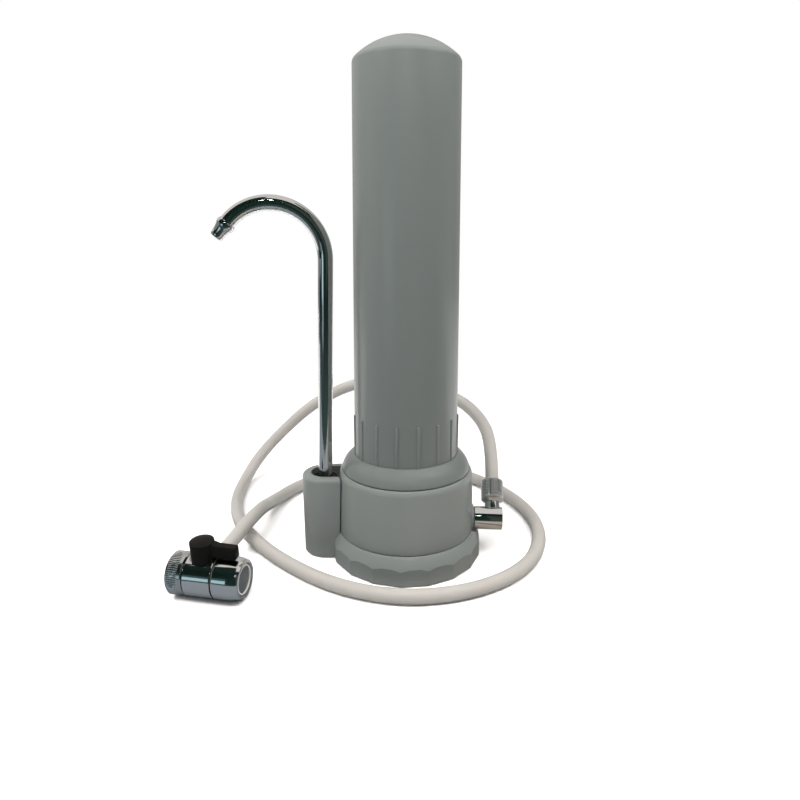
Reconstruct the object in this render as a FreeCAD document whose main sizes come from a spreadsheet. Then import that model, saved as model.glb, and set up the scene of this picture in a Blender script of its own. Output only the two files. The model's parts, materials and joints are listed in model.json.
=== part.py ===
"""Countertop water purifier: foot, head, canister with its cartridge, gooseneck spout, inlet, hose and valve.

Millimetres, +Z up. The origin is where the foot's axis meets the worktop. The inlet points to +X, the spout's
tower stands at -X, and the front is -Y. Every driving size is a cell of the sheet called dims.
"""
import FreeCAD
import Part
import Sketcher
import math
import os
from FreeCAD import Placement, Rotation, Vector

SIZES = {
    # foot: a faceted ring with a floor, and the tower that the spout socket drops into
    "pad_in": 11.0,
    "pad_thick": 1.6,
    "pad_proud": 0.8,
    "floor_thick": 4.0,
    "skirt_flats": 18.0,
    "skirt_out": 4.5,
    "skirt_corner_out": 0.9,
    "skirt_top_in": 0.1,
    "skirt_top_z": 12.5,
    "skirt_first_flat": 16.0,
    "skirt_wall": 3.2,
    "parting_z": 19.3,
    "parting_gap": 0.35,
    "rim_step": 0.3,
    "ledge_wide": 3.4,
    "foot_shoulder_r": 14.0,
    "channel_wide": 2.4,
    "channel_top_z": 10.0,
    "pad_gap": 0.3,
    "head_seat_z": 14.6,
    "tower_out": 8.5,
    "tower_r": 15.5,
    "tower_drop": 4.5,
    "tower_round": 2.8,
    "tower_gap": 0.7,
    "slot_gap": 0.5,
    "notch_gap": 0.8,
    # head: the cup that the canister screws into
    "head_low_r": 46.5,
    "head_draft": 1.5,
    "chamber_depth": 25.4,
    "head_wall": 3.6,
    "thread_in": 6.2,
    "thread_depth": 17.0,
    "thread_step": 1.0,
    "head_edge_drop": 4.6,
    "head_edge_in": 1.7,
    "head_edge_r": 6.5,
    "web_half": 5.5,
    "chamber_floor_z": 36.6,
    "chamber_floor_thick": 3.6,
    "boss_r": 4.6,
    "screws_in": 16.5,
    "screw_count": 4.0,
    "centre_boss_r": 13.5,
    "centre_bore_r": 9.6,
    "centre_rise": 5.4,
    "centre_bore_depth": 15.2,
    "outlet_drop": 14.1,
    "outlet_bore_r": 3.5,
    "outlet_pipe_r": 6.8,
    "socket_wall": 1.1,
    "socket_drop": 11.0,
    "socket_sump": 4.0,
    "inlet_drop": 11.6,
    "inlet_yaw": 5.0,
    "inlet_boss_out": 1.2,
    "inlet_out": 0.4,
    "inlet_bore_gap": 0.1,
    "inlet_bore_depth": 17.9,
    # canister: long moulded housing
    "flange_in": 3.3,
    "flange_gap": 0.6,
    "spigot_clear": 0.5,
    "spigot_wall": 3.4,
    "spigot_length": 15.0,
    "shoulder_height": 10.6,
    "shoulder_round": 18.0,
    "shoulder_in": 8.8,
    "body_draft": 3.0,
    "body_height": 235.8,
    "dome_height": 12.5,
    "dome_edge": 1.6,
    "canister_wall": 3.0,
    "shoulder_step": 0.8,
    "rib_count": 16.0,
    "rib_turn": 1.4,
    "rib_r": 1.15,
    "rib_proud": 0.65,
    "rib_length": 26.3,
    "vent_r": 5.5,
    "vent_height": 1.0,
    "vent_lean": 23.2,
    "vent_turn": 33.7,
    "seal_cord_r": 1.25,
    "seal_groove_z": 3.2,
    # cartridge: ceramic candle on a plastic cap, with a carbon core
    "candle_gap": 6.4,
    "candle_wall": 6.0,
    "candle_headroom": 13.0,
    "core_bore_r": 5.0,
    "core_top_gap": 2.0,
    "cap_floor": 4.5,
    "cap_rim": 9.0,
    "cap_wall": 2.2,
    "cap_bore_r": 4.0,
    "small_cord_r": 1.0,
    "groove_play": 0.2,
    "groove_start": 2.0,
    "groove_pitch": 4.5,
    "fit": 0.08,
    # spout: bent tube with a shaped tip, a bush and a collar
    "spout_tube_r": 4.75,
    "spout_tube_wall": 0.9,
    "spout_bend_r": 36.5,
    "spout_height": 146.5,
    "spout_bend_turn": 158.5,
    "spout_turn": 190.0,
    "spout_rise": 6.5,
    "bush_wall": 2.05,
    "bush_cord_r": 0.75,
    "bush_flange_out": 0.9,
    "collar_depth": 11.0,
    "bush_flange_thick": 1.8,
    "collar_thread_out": 0.2,
    "collar_head_out": 0.6,
    "collar_head_height": 3.6,
    "tip_collar_out": 0.95,
    "tip_collar_length": 2.6,
    "tip_length": 11.5,
    "tip_end_in": 0.55,
    "tip_socket": 2.2,
    "tip_wall": 1.3,
    # inlet elbow and its compression nut
    "seal_thick": 1.3,
    "elbow_r": 7.8,
    "elbow_length": 19.6,
    "elbow_wall": 2.6,
    "elbow_step": 1.8,
    "stub_out": 13.1,
    "stub_roll": 45.0,
    "stub_over_hose": 0.7,
    "stub_length": 17.5,
    "nut_wall": 2.25,
    "nut_low": 11.4,
    "nut_chamfer": 3.6,
    "nut_top": 27.0,
    "nut_lip": 2.6,
    "sleeve_wall": 1.3,
    "insert_flange": 0.6,
    "insert_wall": 0.5,
    "hose_hole_gap": 0.25,
    "knurl_r": 0.45,
    "knurl_count": 28.0,
    # hose
    "hose_r": 4.75,
    "hose_wall": 1.55,
    "end_slack": 0.05,
    "hose_start_run": 30.5,
    "hose_end_run": 25.0,
    # diverter valve, in its own frame: X towards the outlet, Y towards the hose, Z towards the lever
    "valve_x": -123.5,
    "valve_y": -58.0,
    "valve_yaw": 11.0,
    "valve_roll": 4.0,
    "valve_r": 13.4,
    "valve_shoulder_x": 8.6,
    "valve_split_x": 6.8,
    "valve_split_gap": 0.9,
    "valve_neck_in": 4.4,
    "valve_flange_out": 2.0,
    "valve_flange_thick": 1.2,
    "swivel_in": 0.1,
    "swivel_length": 10.8,
    "swivel_gap": 0.5,
    "swivel_lip": 1.6,
    "swivel_wall": 1.7,
    "flute_count": 40.0,
    "flute_r": 0.55,
    "washer_thick": 1.6,
    "washer_hole_out": 2.3,
    "outlet_wall": 2.0,
    "outlet_thread_length": 6.0,
    "outlet_length": 18.8,
    "outlet_end_in": 1.3,
    "outlet_rim": 2.4,
    "outlet_taper": 9.0,
    "outlet_bow_r": 40.0,
    "outlet_step": 0.7,
    "outlet_lip": 4.2,
    "aerator_seal_thick": 1.2,
    "aerator_wall": 2.1,
    "aerator_ring_gap": 0.7,
    "disc_holes": 10.0,
    "screen_in": 1.4,
    "screen_thick": 0.6,
    "screen_back": 1.7,
    "valve_ball_in": 6.9,
    "valve_way_r": 3.2,
    "seat_thick": 1.7,
    "seat_rim": 0.4,
    "tang_wide": 2.2,
    "tang_height": 1.8,
    "spindle_in_lever": 7.5,
    "spindle_r": 3.0,
    "lever_flat_in": 2.0,
    "lever_hub_r": 7.4,
    "lever_hub_height": 14.2,
    "lever_arm_rise": 3.6,
    "lever_arm_height": 6.4,
    "lever_reach": 23.5,
    "lever_arm_width": 6.0,
    "lever_arm_round": 1.2,
    "lever_crown": 1.2,
    "port_out": 0.75,
    "port_length": 17.0,
    "hose_nut_wall": 1.55,
    "hose_nut_low": 14.4,
    "hose_nut_chamfer": 0.6,
    "hose_nut_top": 24.5,
    # screws under the foot
    "screw_head_r": 3.7,
    "screw_head_height": 1.7,
    "screw_shank_r": 1.7,
    "screw_length": 12.0,
}

# Centre line of the hose from the inlet nut, up and round behind the canister, down to the worktop at the
# left, round the front of the foot, behind it again and over itself to the valve. The mouths of the two nuts
# and the straight runs out of them come from the nuts' own places.
HOSE_ROUTE = [
    (58.5, 68.0, 74.5),
    (42.0, 99.0, 82.0),
    (3.0, 125.0, 88.0),
    (-41.0, 137.0, 85.5),
    (-81.0, 143.0, 64.0),
    (-111.0, 140.0, 37.5),
    (-130.0, 126.0, 18.5),
    (-138.5, 100.0, 5.0),
    (-136.5, 66.0, 4.75),
    (-125.0, 28.0, 4.75),
    (-104.0, -4.0, 4.75),
    (-73.0, -36.0, 4.75),
    (-38.0, -60.0, 4.75),
    (2.0, -70.0, 4.75),
    (45.0, -61.0, 4.75),
    (80.0, -35.0, 4.75),
    (97.0, 3.0, 4.75),
    (97.5, 45.0, 4.75),
    (78.0, 90.0, 4.75),
    (46.0, 125.0, 4.75),
    (-4.0, 139.0, 4.75),
    (-54.0, 126.0, 4.75),
    (-89.0, 97.0, 4.75),
    (-105.0, 60.0, 6.5),
    (-106.5, 24.0, 18.0),
]
BEND_SHARE = 0.45

doc = FreeCAD.newDocument("water_purifier")
sheet = doc.addObject("Spreadsheet::Sheet", "dims")
for row, (alias, number) in enumerate(SIZES.items(), 1):
    sheet.set(f"A{row}", alias)
    sheet.set(f"B{row}", str(number))
    sheet.setAlias(f"B{row}", alias)
doc.recompute()


class Size:
    """A length that keeps both its number and the sheet expression that it comes from."""

    def __init__(self, text, number):
        self.text = text
        self.number = number

    def __add__(self, other):
        other = size(other)
        return Size(f"({self.text} + {other.text})", self.number + other.number)

    def __sub__(self, other):
        other = size(other)
        return Size(f"({self.text} - {other.text})", self.number - other.number)

    def __mul__(self, other):
        other = size(other)
        return Size(f"({self.text} * {other.text})", self.number * other.number)

    def __truediv__(self, other):
        other = size(other)
        return Size(f"({self.text} / {other.text})", self.number / other.number)

    def __radd__(self, other):
        return size(other) + self

    def __rsub__(self, other):
        return size(other) - self

    def __rmul__(self, other):
        return size(other) * self

    def __neg__(self):
        return Size(f"(0 - {self.text})", -self.number)

    def __float__(self):
        return self.number


def size(value):
    """Wrap a bare number, or hand back a Size as it is."""
    if isinstance(value, Size):
        return value
    return Size(repr(float(value)), float(value))


class Dims:
    """S.name is the sheet cell of that name."""

    def __getattr__(self, alias):
        return Size(f"dims.{alias}", float(sheet.get(alias)))


S = Dims()
parts = []


def bind(feature, prop, value):
    """Tie a property to the sheet."""
    feature.setExpression(prop, size(value).text)


def new_body(label, place=None):
    """An empty body with its own place, listed for export."""
    body = doc.addObject("PartDesign::Body", label)
    body.Label = label
    if place is not None:
        body.Placement = place
    parts.append(body)
    return body


def new_sketch(body, name, plane="XZ_Plane", lift=0, turn=None):
    """A sketch on one of the body's own origin planes, lifted along its normal."""
    sketch = body.newObject("Sketcher::SketchObject", name)
    support = [f for f in body.Origin.OriginFeatures if f.Role == plane][0]
    sketch.AttachmentSupport = (support, [""])
    sketch.MapMode = "FlatFace"
    if turn is not None:
        sketch.AttachmentOffset = Placement(Vector(0, 0, 0), turn)
    if isinstance(lift, Size) or lift:
        bind(sketch, "AttachmentOffset.Base.z", lift)
    return sketch


def pin_point(sketch, geometry, end, x, y):
    """Hold one end of a sketch curve at a place that follows the sheet."""
    for kind, axis, place in (("DistanceX", -2, size(x)), ("DistanceY", -1, size(y))):
        if place.number == 0:
            sketch.addConstraint(Sketcher.Constraint("PointOnObject", geometry, end, axis))
        else:
            index = sketch.addConstraint(Sketcher.Constraint(kind, geometry, end, place.number))
            sketch.setExpression(f"Constraints[{index}]", place.text)


def draw_outline(sketch, corners, arcs=None):
    """Closed outline through the corners. arcs maps a corner's number to the radius of the arc that leaves
    it: positive bends to the left of the way to the next corner, negative to the right."""
    arcs = arcs or {}
    spots = [Vector(float(x), float(y), 0) for x, y in corners]
    count = len(spots)
    ends = []
    for i, here in enumerate(spots):
        there = spots[(i + 1) % count]
        if i not in arcs:
            geometry = sketch.addGeometry(Part.LineSegment(here, there), False)
            ends.append((geometry, 1, 2))
            continue
        radius = size(arcs[i])
        bend = 1 if radius.number > 0 else -1
        chord = there - here
        middle = (here + there) * 0.5
        rise = math.sqrt(max(radius.number ** 2 - (chord.Length / 2) ** 2, 0))
        across = Vector(-chord.y, chord.x, 0).normalize()
        centre = middle + across * rise * bend
        first, last = (here, there) if bend > 0 else (there, here)
        start = math.atan2(first.y - centre.y, first.x - centre.x)
        stop = math.atan2(last.y - centre.y, last.x - centre.x)
        circle = Part.Circle(centre, Vector(0, 0, 1), abs(radius.number))
        geometry = sketch.addGeometry(Part.ArcOfCircle(circle, start, stop), False)
        ends.append((geometry, 1, 2) if bend > 0 else (geometry, 2, 1))
        index = sketch.addConstraint(Sketcher.Constraint("Radius", geometry, abs(radius.number)))
        sketch.setExpression(f"Constraints[{index}]", radius.text if bend > 0 else (-radius).text)
    for i in range(count):
        here = ends[i]
        there = ends[(i + 1) % count]
        sketch.addConstraint(Sketcher.Constraint("Coincident", here[0], here[2], there[0], there[1]))
        pin_point(sketch, here[0], here[1], *corners[i])


def draw_circle(sketch, x, y, radius):
    """A circle whose centre and radius follow the sheet."""
    centre = Vector(float(size(x)), float(size(y)), 0)
    geometry = sketch.addGeometry(Part.Circle(centre, Vector(0, 0, 1), float(size(radius))), False)
    pin_point(sketch, geometry, 3, x, y)
    index = sketch.addConstraint(Sketcher.Constraint("Radius", geometry, float(size(radius))))
    sketch.setExpression(f"Constraints[{index}]", size(radius).text)


def sweep_round(body, name, corners, arcs=None, kind="Revolution", axis="V_Axis"):
    """Turn an outline, given as (radius, height), round the body's Z, or with axis H_Axis round its X."""
    sketch = new_sketch(body, f"{name}_outline")
    draw_outline(sketch, corners, arcs)
    feature = body.newObject(f"PartDesign::{kind}", name)
    feature.Profile = sketch
    feature.ReferenceAxis = (sketch, [axis])
    feature.Angle = 360.0
    return feature


def push(body, name, sketch, length, kind="Pad", reverse=False, both=False):
    """Pad or pocket a sketch by a length that follows the sheet."""
    feature = body.newObject(f"PartDesign::{kind}", name)
    feature.Profile = sketch
    bind(feature, "Length", length)
    feature.Reversed = reverse
    feature.Midplane = both
    return feature


def ring_of(body, name, features, count, axis="Z_Axis"):
    """Repeat one feature, or a list of them, evenly round one of the body's axes."""
    pattern = body.newObject("PartDesign::PolarPattern", name)
    pattern.Originals = features if isinstance(features, list) else [features]
    line = [f for f in body.Origin.OriginFeatures if f.Role == axis][0]
    pattern.Axis = (line, [""])
    pattern.Angle = 360.0
    bind(pattern, "Occurrences", count)
    body.Tip = pattern
    return pattern


def edges_of(feature, test):
    """Names of the edges that a test picks."""
    doc.recompute()
    return [f"Edge{i}" for i, edge in enumerate(feature.Shape.Edges, 1) if test(edge)]


def soften(body, name, radius, test, kind="Fillet"):
    """Round or chamfer the picked edges."""
    base = body.Tip
    names = edges_of(base, test)
    feature = body.newObject(f"PartDesign::{kind}", name)
    feature.Base = (base, names)
    bind(feature, "Radius" if kind == "Fillet" else "Size", radius)
    body.Tip = feature
    return feature


def is_circle(edge, radius, height, slack=0.02):
    """True for a round edge of that radius, level, at that height in the body's frame."""
    box = edge.BoundBox
    level = abs(box.ZMin - float(height)) < slack and abs(box.ZMax - float(height)) < slack
    return level and abs(box.XMax - float(radius)) < slack


def turned(label, corners, arcs=None, place=None):
    """A piece that is one turned solid round its own Z."""
    body = new_body(label, place)
    sweep_round(body, f"{label}_turn", corners, arcs)
    return body


def rings(label, major, minor, heights, place=None):
    """One or more cord rings on one axis, as a group of separate solids."""
    loops = []
    for i, height in enumerate(heights, 1):
        loop = doc.addObject("Part::Torus", f"{label}_{i}")
        bind(loop, "Radius1", major)
        bind(loop, "Radius2", minor)
        bind(loop, "Placement.Base.z", height)
        loops.append(loop)
    if len(loops) == 1:
        whole = loops[0]
        whole.Label = label
    else:
        whole = doc.addObject("Part::Compound", label)
        whole.Links = loops
        whole.Label = label
    if place is not None:
        if len(loops) == 1:
            whole.setExpression("Placement.Base.z", None)
            whole.Placement = place * Placement(Vector(0, 0, float(size(heights[0]))), Rotation())
        else:
            whole.Placement = place
    parts.append(whole)
    return whole


def bar(body, name, radius, length, place, cut=False):
    """A round bar that is added to or cut from the body, from its place along that place's Z."""
    kind = "PartDesign::SubtractiveCylinder" if cut else "PartDesign::AdditiveCylinder"
    feature = body.newObject(kind, name)
    bind(feature, "Radius", radius)
    bind(feature, "Height", length)
    feature.Placement = place
    return feature


def at(x=0, y=0, z=0, rotation=None):
    """A place from sizes."""
    return Placement(Vector(float(size(x)), float(size(y)), float(size(z))), rotation or Rotation())


# Radii and places that follow the head's foot radius
skirt_flat_r = S.head_low_r + S.skirt_out
skirt_corner_r = skirt_flat_r + S.skirt_corner_out
skirt_top_r = skirt_flat_r - S.skirt_top_in
pad_r = skirt_flat_r - S.pad_in
head_high_r = S.head_low_r - S.head_draft
thread_r = S.head_low_r - S.thread_in
boss_circle_r = S.head_low_r - S.screws_in
tower_x = S.head_low_r + S.tower_out
inlet_face_x = S.head_low_r + S.inlet_out
inlet_bore_x = inlet_face_x - S.inlet_bore_depth
stub_x = inlet_face_x + S.stub_out
elbow_end_x = inlet_face_x + S.elbow_length
flange_r = S.head_low_r - S.flange_in
body_low_r = flange_r - S.shoulder_in
body_high_r = body_low_r - S.body_draft
candle_r = body_high_r - S.candle_gap

# Heights that follow the chamber's floor
head_top_z = S.chamber_floor_z + S.chamber_depth
flange_z = head_top_z + S.flange_gap
shoulder_top_z = flange_z + S.shoulder_height
rib_top_z = shoulder_top_z + S.rib_length
body_high_z = shoulder_top_z + S.body_height
candle_top_z = body_high_z - S.candle_headroom
centre_top_z = S.chamber_floor_z + S.centre_rise
centre_bore_z = centre_top_z - S.centre_bore_depth
inlet_z = S.chamber_floor_z - S.inlet_drop
outlet_z = S.chamber_floor_z - S.outlet_drop
socket_top_z = head_top_z - S.socket_drop
socket_floor_z = outlet_z - S.socket_sump
tower_top_z = head_top_z - S.tower_drop
spout_end_z = outlet_z + S.spout_rise
spout_bend_z = socket_top_z + S.spout_height
bush_flange_z = socket_top_z - S.collar_depth

# Radii round the spout's tube, the inlet's elbow and the hose
bush_r = S.spout_tube_r + S.bush_wall
bush_flange_r = bush_r + S.bush_flange_out
collar_thread_r = bush_flange_r + S.collar_thread_out
collar_head_r = collar_thread_r + S.collar_head_out
socket_r = collar_thread_r + S.socket_wall
tip_collar_r = S.spout_tube_r + S.tip_collar_out
tip_end_r = S.spout_tube_r - S.tip_end_in
tip_bore_r = tip_end_r - S.tip_wall
elbow_spigot_r = S.elbow_r - S.elbow_step
elbow_bore_r = elbow_spigot_r - S.elbow_wall
inlet_bore_r = elbow_spigot_r + S.inlet_bore_gap
inlet_boss_r = S.elbow_r + S.inlet_boss_out
stub_r = S.hose_r + S.stub_over_hose
nut_r = stub_r + S.nut_wall
port_r = stub_r + S.port_out
hose_nut_r = stub_r + S.hose_nut_wall

# Radii and places inside the valve
valve_neck_r = S.valve_r - S.valve_neck_in
valve_flange_r = valve_neck_r + S.valve_flange_out
swivel_r = S.valve_r - S.swivel_in
swivel_thread_r = swivel_r - S.swivel_wall
washer_hole_r = S.valve_way_r + S.washer_hole_out
outlet_split_x = S.valve_split_x + S.valve_split_gap
outlet_end_x = outlet_split_x + S.outlet_length
outlet_thread_r = S.valve_r - S.outlet_wall
outlet_end_r = S.valve_r - S.outlet_end_in
outlet_mouth_r = outlet_end_r - S.outlet_rim
aerator_way_r = outlet_mouth_r - S.aerator_wall
screen_r = outlet_mouth_r - S.screen_in
valve_ball_r = S.valve_r - S.valve_ball_in
lever_seat_z = S.valve_r - S.lever_flat_in
lever_arm_low = lever_seat_z + S.lever_arm_rise
lever_arm_high = lever_arm_low + S.lever_arm_height

TO_X = Rotation(Vector(0, 1, 0), 90)
TO_MINUS_X = Rotation(Vector(0, 1, 0), -90)
TO_Y = Rotation(Vector(1, 0, 0), -90)
YAW = Rotation(Vector(0, 0, 1), -float(S.inlet_yaw))
SPOUT = at(-tower_x, 0, 0, Rotation(Vector(0, 0, 1), float(S.spout_turn)))
INLET = at(0, 0, inlet_z, YAW * Rotation(Vector(1, 0, 0), -float(S.stub_roll)))
STUB = INLET * at(stub_x)
VALVE = at(S.valve_x, S.valve_y, S.valve_r,
           Rotation(Vector(0, 0, 1), -float(S.valve_yaw)) * Rotation(Vector(1, 0, 0), float(S.valve_roll)))
VALVE_PORT = VALVE * at(rotation=TO_Y)

# Heights and radii that several pieces share
floor_top = S.pad_proud + S.floor_thick
head_inner_r = thread_r - S.thread_step
head_foot_r = S.head_low_r - S.head_wall
foot_rim_z = S.parting_z - S.parting_gap
foot_bore_r = head_foot_r + S.parting_gap
slot_r = socket_r + S.slot_gap
spigot_r = thread_r - S.spigot_clear
spigot_low_z = flange_z - S.spigot_length
screw_spot = boss_circle_r / math.sqrt(2)
bush_bore_r = bush_r + S.fit
collar_low_z = bush_flange_z + S.bush_flange_thick + S.fit
cap_floor_z = centre_top_z + S.cap_floor
elbow_start_x = inlet_face_x + S.seal_thick


def make_foot():
    """Faceted tray, the ledge that the head stands on, and the tower with its slot and the inlet's notch."""
    body = new_body("foot")
    sweep_round(body, "tray", [
        (0, S.pad_proud), (skirt_corner_r, S.pad_proud), (skirt_corner_r, S.skirt_top_z - 4.0),
        (skirt_top_r, S.skirt_top_z), (S.head_low_r + S.rim_step, foot_rim_z), (foot_bore_r, foot_rim_z),
        (foot_bore_r, S.head_seat_z), (foot_bore_r - S.ledge_wide, S.head_seat_z),
        (foot_bore_r - S.ledge_wide, floor_top), (0, floor_top)], {3: S.foot_shoulder_r})
    first_turn = Rotation(Vector(0, 0, 1), float(S.skirt_first_flat))
    flat = new_sketch(body, "skirt_flat_plan", "XY_Plane", S.pad_proud, first_turn)
    half_flat = skirt_corner_r / 4
    draw_outline(flat, [(skirt_flat_r, -half_flat), (skirt_flat_r + half_flat, -half_flat),
                        (skirt_flat_r + half_flat, half_flat), (skirt_flat_r, half_flat)])
    first = push(body, "skirt_flat", flat, S.skirt_top_z + 4.0 - S.pad_proud, "Pocket", reverse=True)
    doc.recompute()
    ring_of(body, "skirt_flats", first, S.skirt_flats)
    plan = new_sketch(body, "tower_plan", "XY_Plane", S.pad_proud)
    draw_outline(plan, [(-tower_x, -S.tower_r), (-boss_circle_r, -S.tower_r),
                        (-boss_circle_r, S.tower_r), (-tower_x, S.tower_r)])
    push(body, "tower", plan, tower_top_z - S.pad_proud)
    bar(body, "tower_end", S.tower_r, tower_top_z - S.pad_proud, at(-tower_x, 0, S.pad_proud))
    top = float(tower_top_z)
    soften(body, "tower_edge", S.tower_round,
           lambda e: e.BoundBox.ZMin > top - 0.01 and e.BoundBox.XMin < -float(boss_circle_r) - 1)
    sweep_round(body, "head_room", [
        (0, S.head_seat_z), (foot_bore_r, S.head_seat_z), (foot_bore_r, foot_rim_z),
        (S.head_low_r + S.tower_gap, foot_rim_z), (head_high_r + S.tower_gap, tower_top_z + 1.0),
        (0, tower_top_z + 1.0)], kind="Groove")
    slot = new_sketch(body, "slot_plan", "XY_Plane", S.head_seat_z)
    draw_outline(slot, [(-tower_x, -slot_r), (-boss_circle_r, -slot_r),
                        (-boss_circle_r, slot_r), (-tower_x, slot_r)])
    push(body, "slot", slot, tower_top_z - S.head_seat_z + 1.0, "Pocket", reverse=True)
    bar(body, "slot_end", slot_r, tower_top_z, at(-tower_x, 0, S.head_seat_z), cut=True)
    bar(body, "tray_hollow", foot_bore_r - S.ledge_wide, S.head_seat_z, at(0, 0, floor_top), cut=True)
    bar(body, "inlet_notch", inlet_boss_r + S.notch_gap, skirt_corner_r,
        at(0, 0, inlet_z) * at(rotation=YAW * TO_X) * at(0, 0, foot_bore_r - S.ledge_wide), cut=True)
    channel_low = skirt_flat_r - S.skirt_wall
    sweep_round(body, "underside_channel", [
        (channel_low - S.channel_wide, S.pad_proud - 1.0), (channel_low, S.pad_proud - 1.0),
        (channel_low, S.channel_top_z), (channel_low - S.channel_wide, S.channel_top_z)], kind="Groove")
    bar(body, "pad_recess", pad_r + S.pad_gap, S.pad_thick, at(0, 0, 0), cut=True)
    spot = at(screw_spot, screw_spot, 0)
    hole = bar(body, "screw_hole", S.screw_shank_r + S.pad_gap, floor_top, spot, cut=True)
    sink_height = S.pad_thick + S.screw_head_height
    sink = bar(body, "screw_sink", S.screw_head_r + S.pad_gap, sink_height, spot, cut=True)
    doc.recompute()
    ring_of(body, "screw_holes", [hole, sink], S.screw_count)
    return body


def make_base_parts():
    """Rubber disc that the purifier stands on, and the screws that it hides."""
    turned("non_slip_pad", [(0, 0), (pad_r, 0), (pad_r, S.pad_thick), (0, S.pad_thick)])
    screws = []
    for turn in range(int(float(S.screw_count))):
        spin = Rotation(Vector(0, 0, 1), 45 + 360 * turn / float(S.screw_count))
        head = doc.addObject("Part::Cylinder", f"screw_head_{turn}")
        bind(head, "Radius", S.screw_head_r)
        bind(head, "Height", S.screw_head_height)
        shank = doc.addObject("Part::Cylinder", f"screw_shank_{turn}")
        bind(shank, "Radius", S.screw_shank_r - S.fit)
        bind(shank, "Height", S.screw_length)
        shank.Placement = at(0, 0, S.screw_head_height)
        screw = doc.addObject("Part::Fuse", f"screw_{turn}")
        screw.Base = head
        screw.Tool = shank
        screw.Placement = Placement(Vector(), spin) * at(boss_circle_r, 0, S.pad_thick)
        screws.append(screw)
    group = doc.addObject("Part::Compound", "base_screws")
    group.Links = screws
    parts.append(group)


def make_head():
    """Cup with the canister's thread, the candle's socket, the water ways and the spout's socket."""
    body = new_body("filter_head")
    underside_z = S.chamber_floor_z - S.chamber_floor_thick
    sweep_round(body, "cup", [
        (head_inner_r, S.head_seat_z), (head_foot_r, S.head_seat_z), (head_foot_r, S.parting_z),
        (S.head_low_r, S.parting_z), (head_high_r, head_top_z - S.head_edge_drop),
        (head_high_r - S.head_edge_in, head_top_z), (thread_r, head_top_z),
        (thread_r, head_top_z - S.thread_depth), (head_inner_r, head_top_z - S.thread_depth),
        (head_inner_r, S.chamber_floor_z), (0, S.chamber_floor_z), (0, underside_z),
        (head_inner_r, underside_z)], {4: S.head_edge_r})
    boss_low_z = outlet_z - S.outlet_pipe_r - 0.8
    bar(body, "centre_boss", S.centre_boss_r, centre_top_z - boss_low_z, at(0, 0, boss_low_z))
    bar(body, "outlet_pipe", S.outlet_pipe_r, tower_x, at(0, 0, outlet_z, TO_MINUS_X))
    bar(body, "socket", socket_r, socket_top_z - S.head_seat_z, at(-tower_x, 0, S.head_seat_z))
    web = new_sketch(body, "web_plan", "XY_Plane", S.head_seat_z)
    web_end_x = S.head_wall / 2 - head_foot_r
    draw_outline(web, [(-tower_x, -S.web_half), (web_end_x, -S.web_half),
                       (web_end_x, S.web_half), (-tower_x, S.web_half)])
    push(body, "web", web, socket_top_z - S.head_seat_z - 1.5)
    boss = bar(body, "inlet_boss", inlet_boss_r, inlet_face_x - inlet_bore_x + 4.0,
               at(0, 0, inlet_z, YAW * TO_X) * at(0, 0, inlet_bore_x - 4.0))
    boss.Refine = False  # merging faces here spoils the cup's cone at some head sizes
    spot = at(screw_spot, screw_spot, floor_top)
    post = bar(body, "screw_post", S.boss_r, underside_z - floor_top + 1.0, spot)
    doc.recompute()
    ring_of(body, "screw_posts", post, S.screw_count)
    bar(body, "candle_bore", S.centre_bore_r, centre_top_z - centre_bore_z, at(0, 0, centre_bore_z), cut=True)
    sump_z = outlet_z - S.outlet_bore_r - 0.6
    bar(body, "down_way", S.outlet_bore_r + 0.6, centre_top_z - sump_z, at(0, 0, sump_z), cut=True)
    bar(body, "outlet_way", S.outlet_bore_r, tower_x, at(0, 0, outlet_z, TO_MINUS_X), cut=True)
    bar(body, "socket_bore", bush_bore_r, socket_top_z, at(-tower_x, 0, socket_floor_z), cut=True)
    bar(body, "collar_bore", collar_thread_r + S.fit, socket_top_z, at(-tower_x, 0, bush_flange_z), cut=True)
    bar(body, "inlet_bore", inlet_bore_r, skirt_corner_r,
        at(0, 0, inlet_z, YAW * TO_X) * at(0, 0, inlet_bore_x), cut=True)
    bar(body, "inlet_way", elbow_bore_r, centre_top_z - inlet_z,
        at(0, 0, inlet_z, YAW) * at(inlet_bore_x + elbow_bore_r + 0.5), cut=True)
    pilot = bar(body, "screw_pilot", S.screw_shank_r, S.screw_length, spot, cut=True)
    doc.recompute()
    ring_of(body, "screw_pilots", pilot, S.screw_count)
    return body


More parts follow.
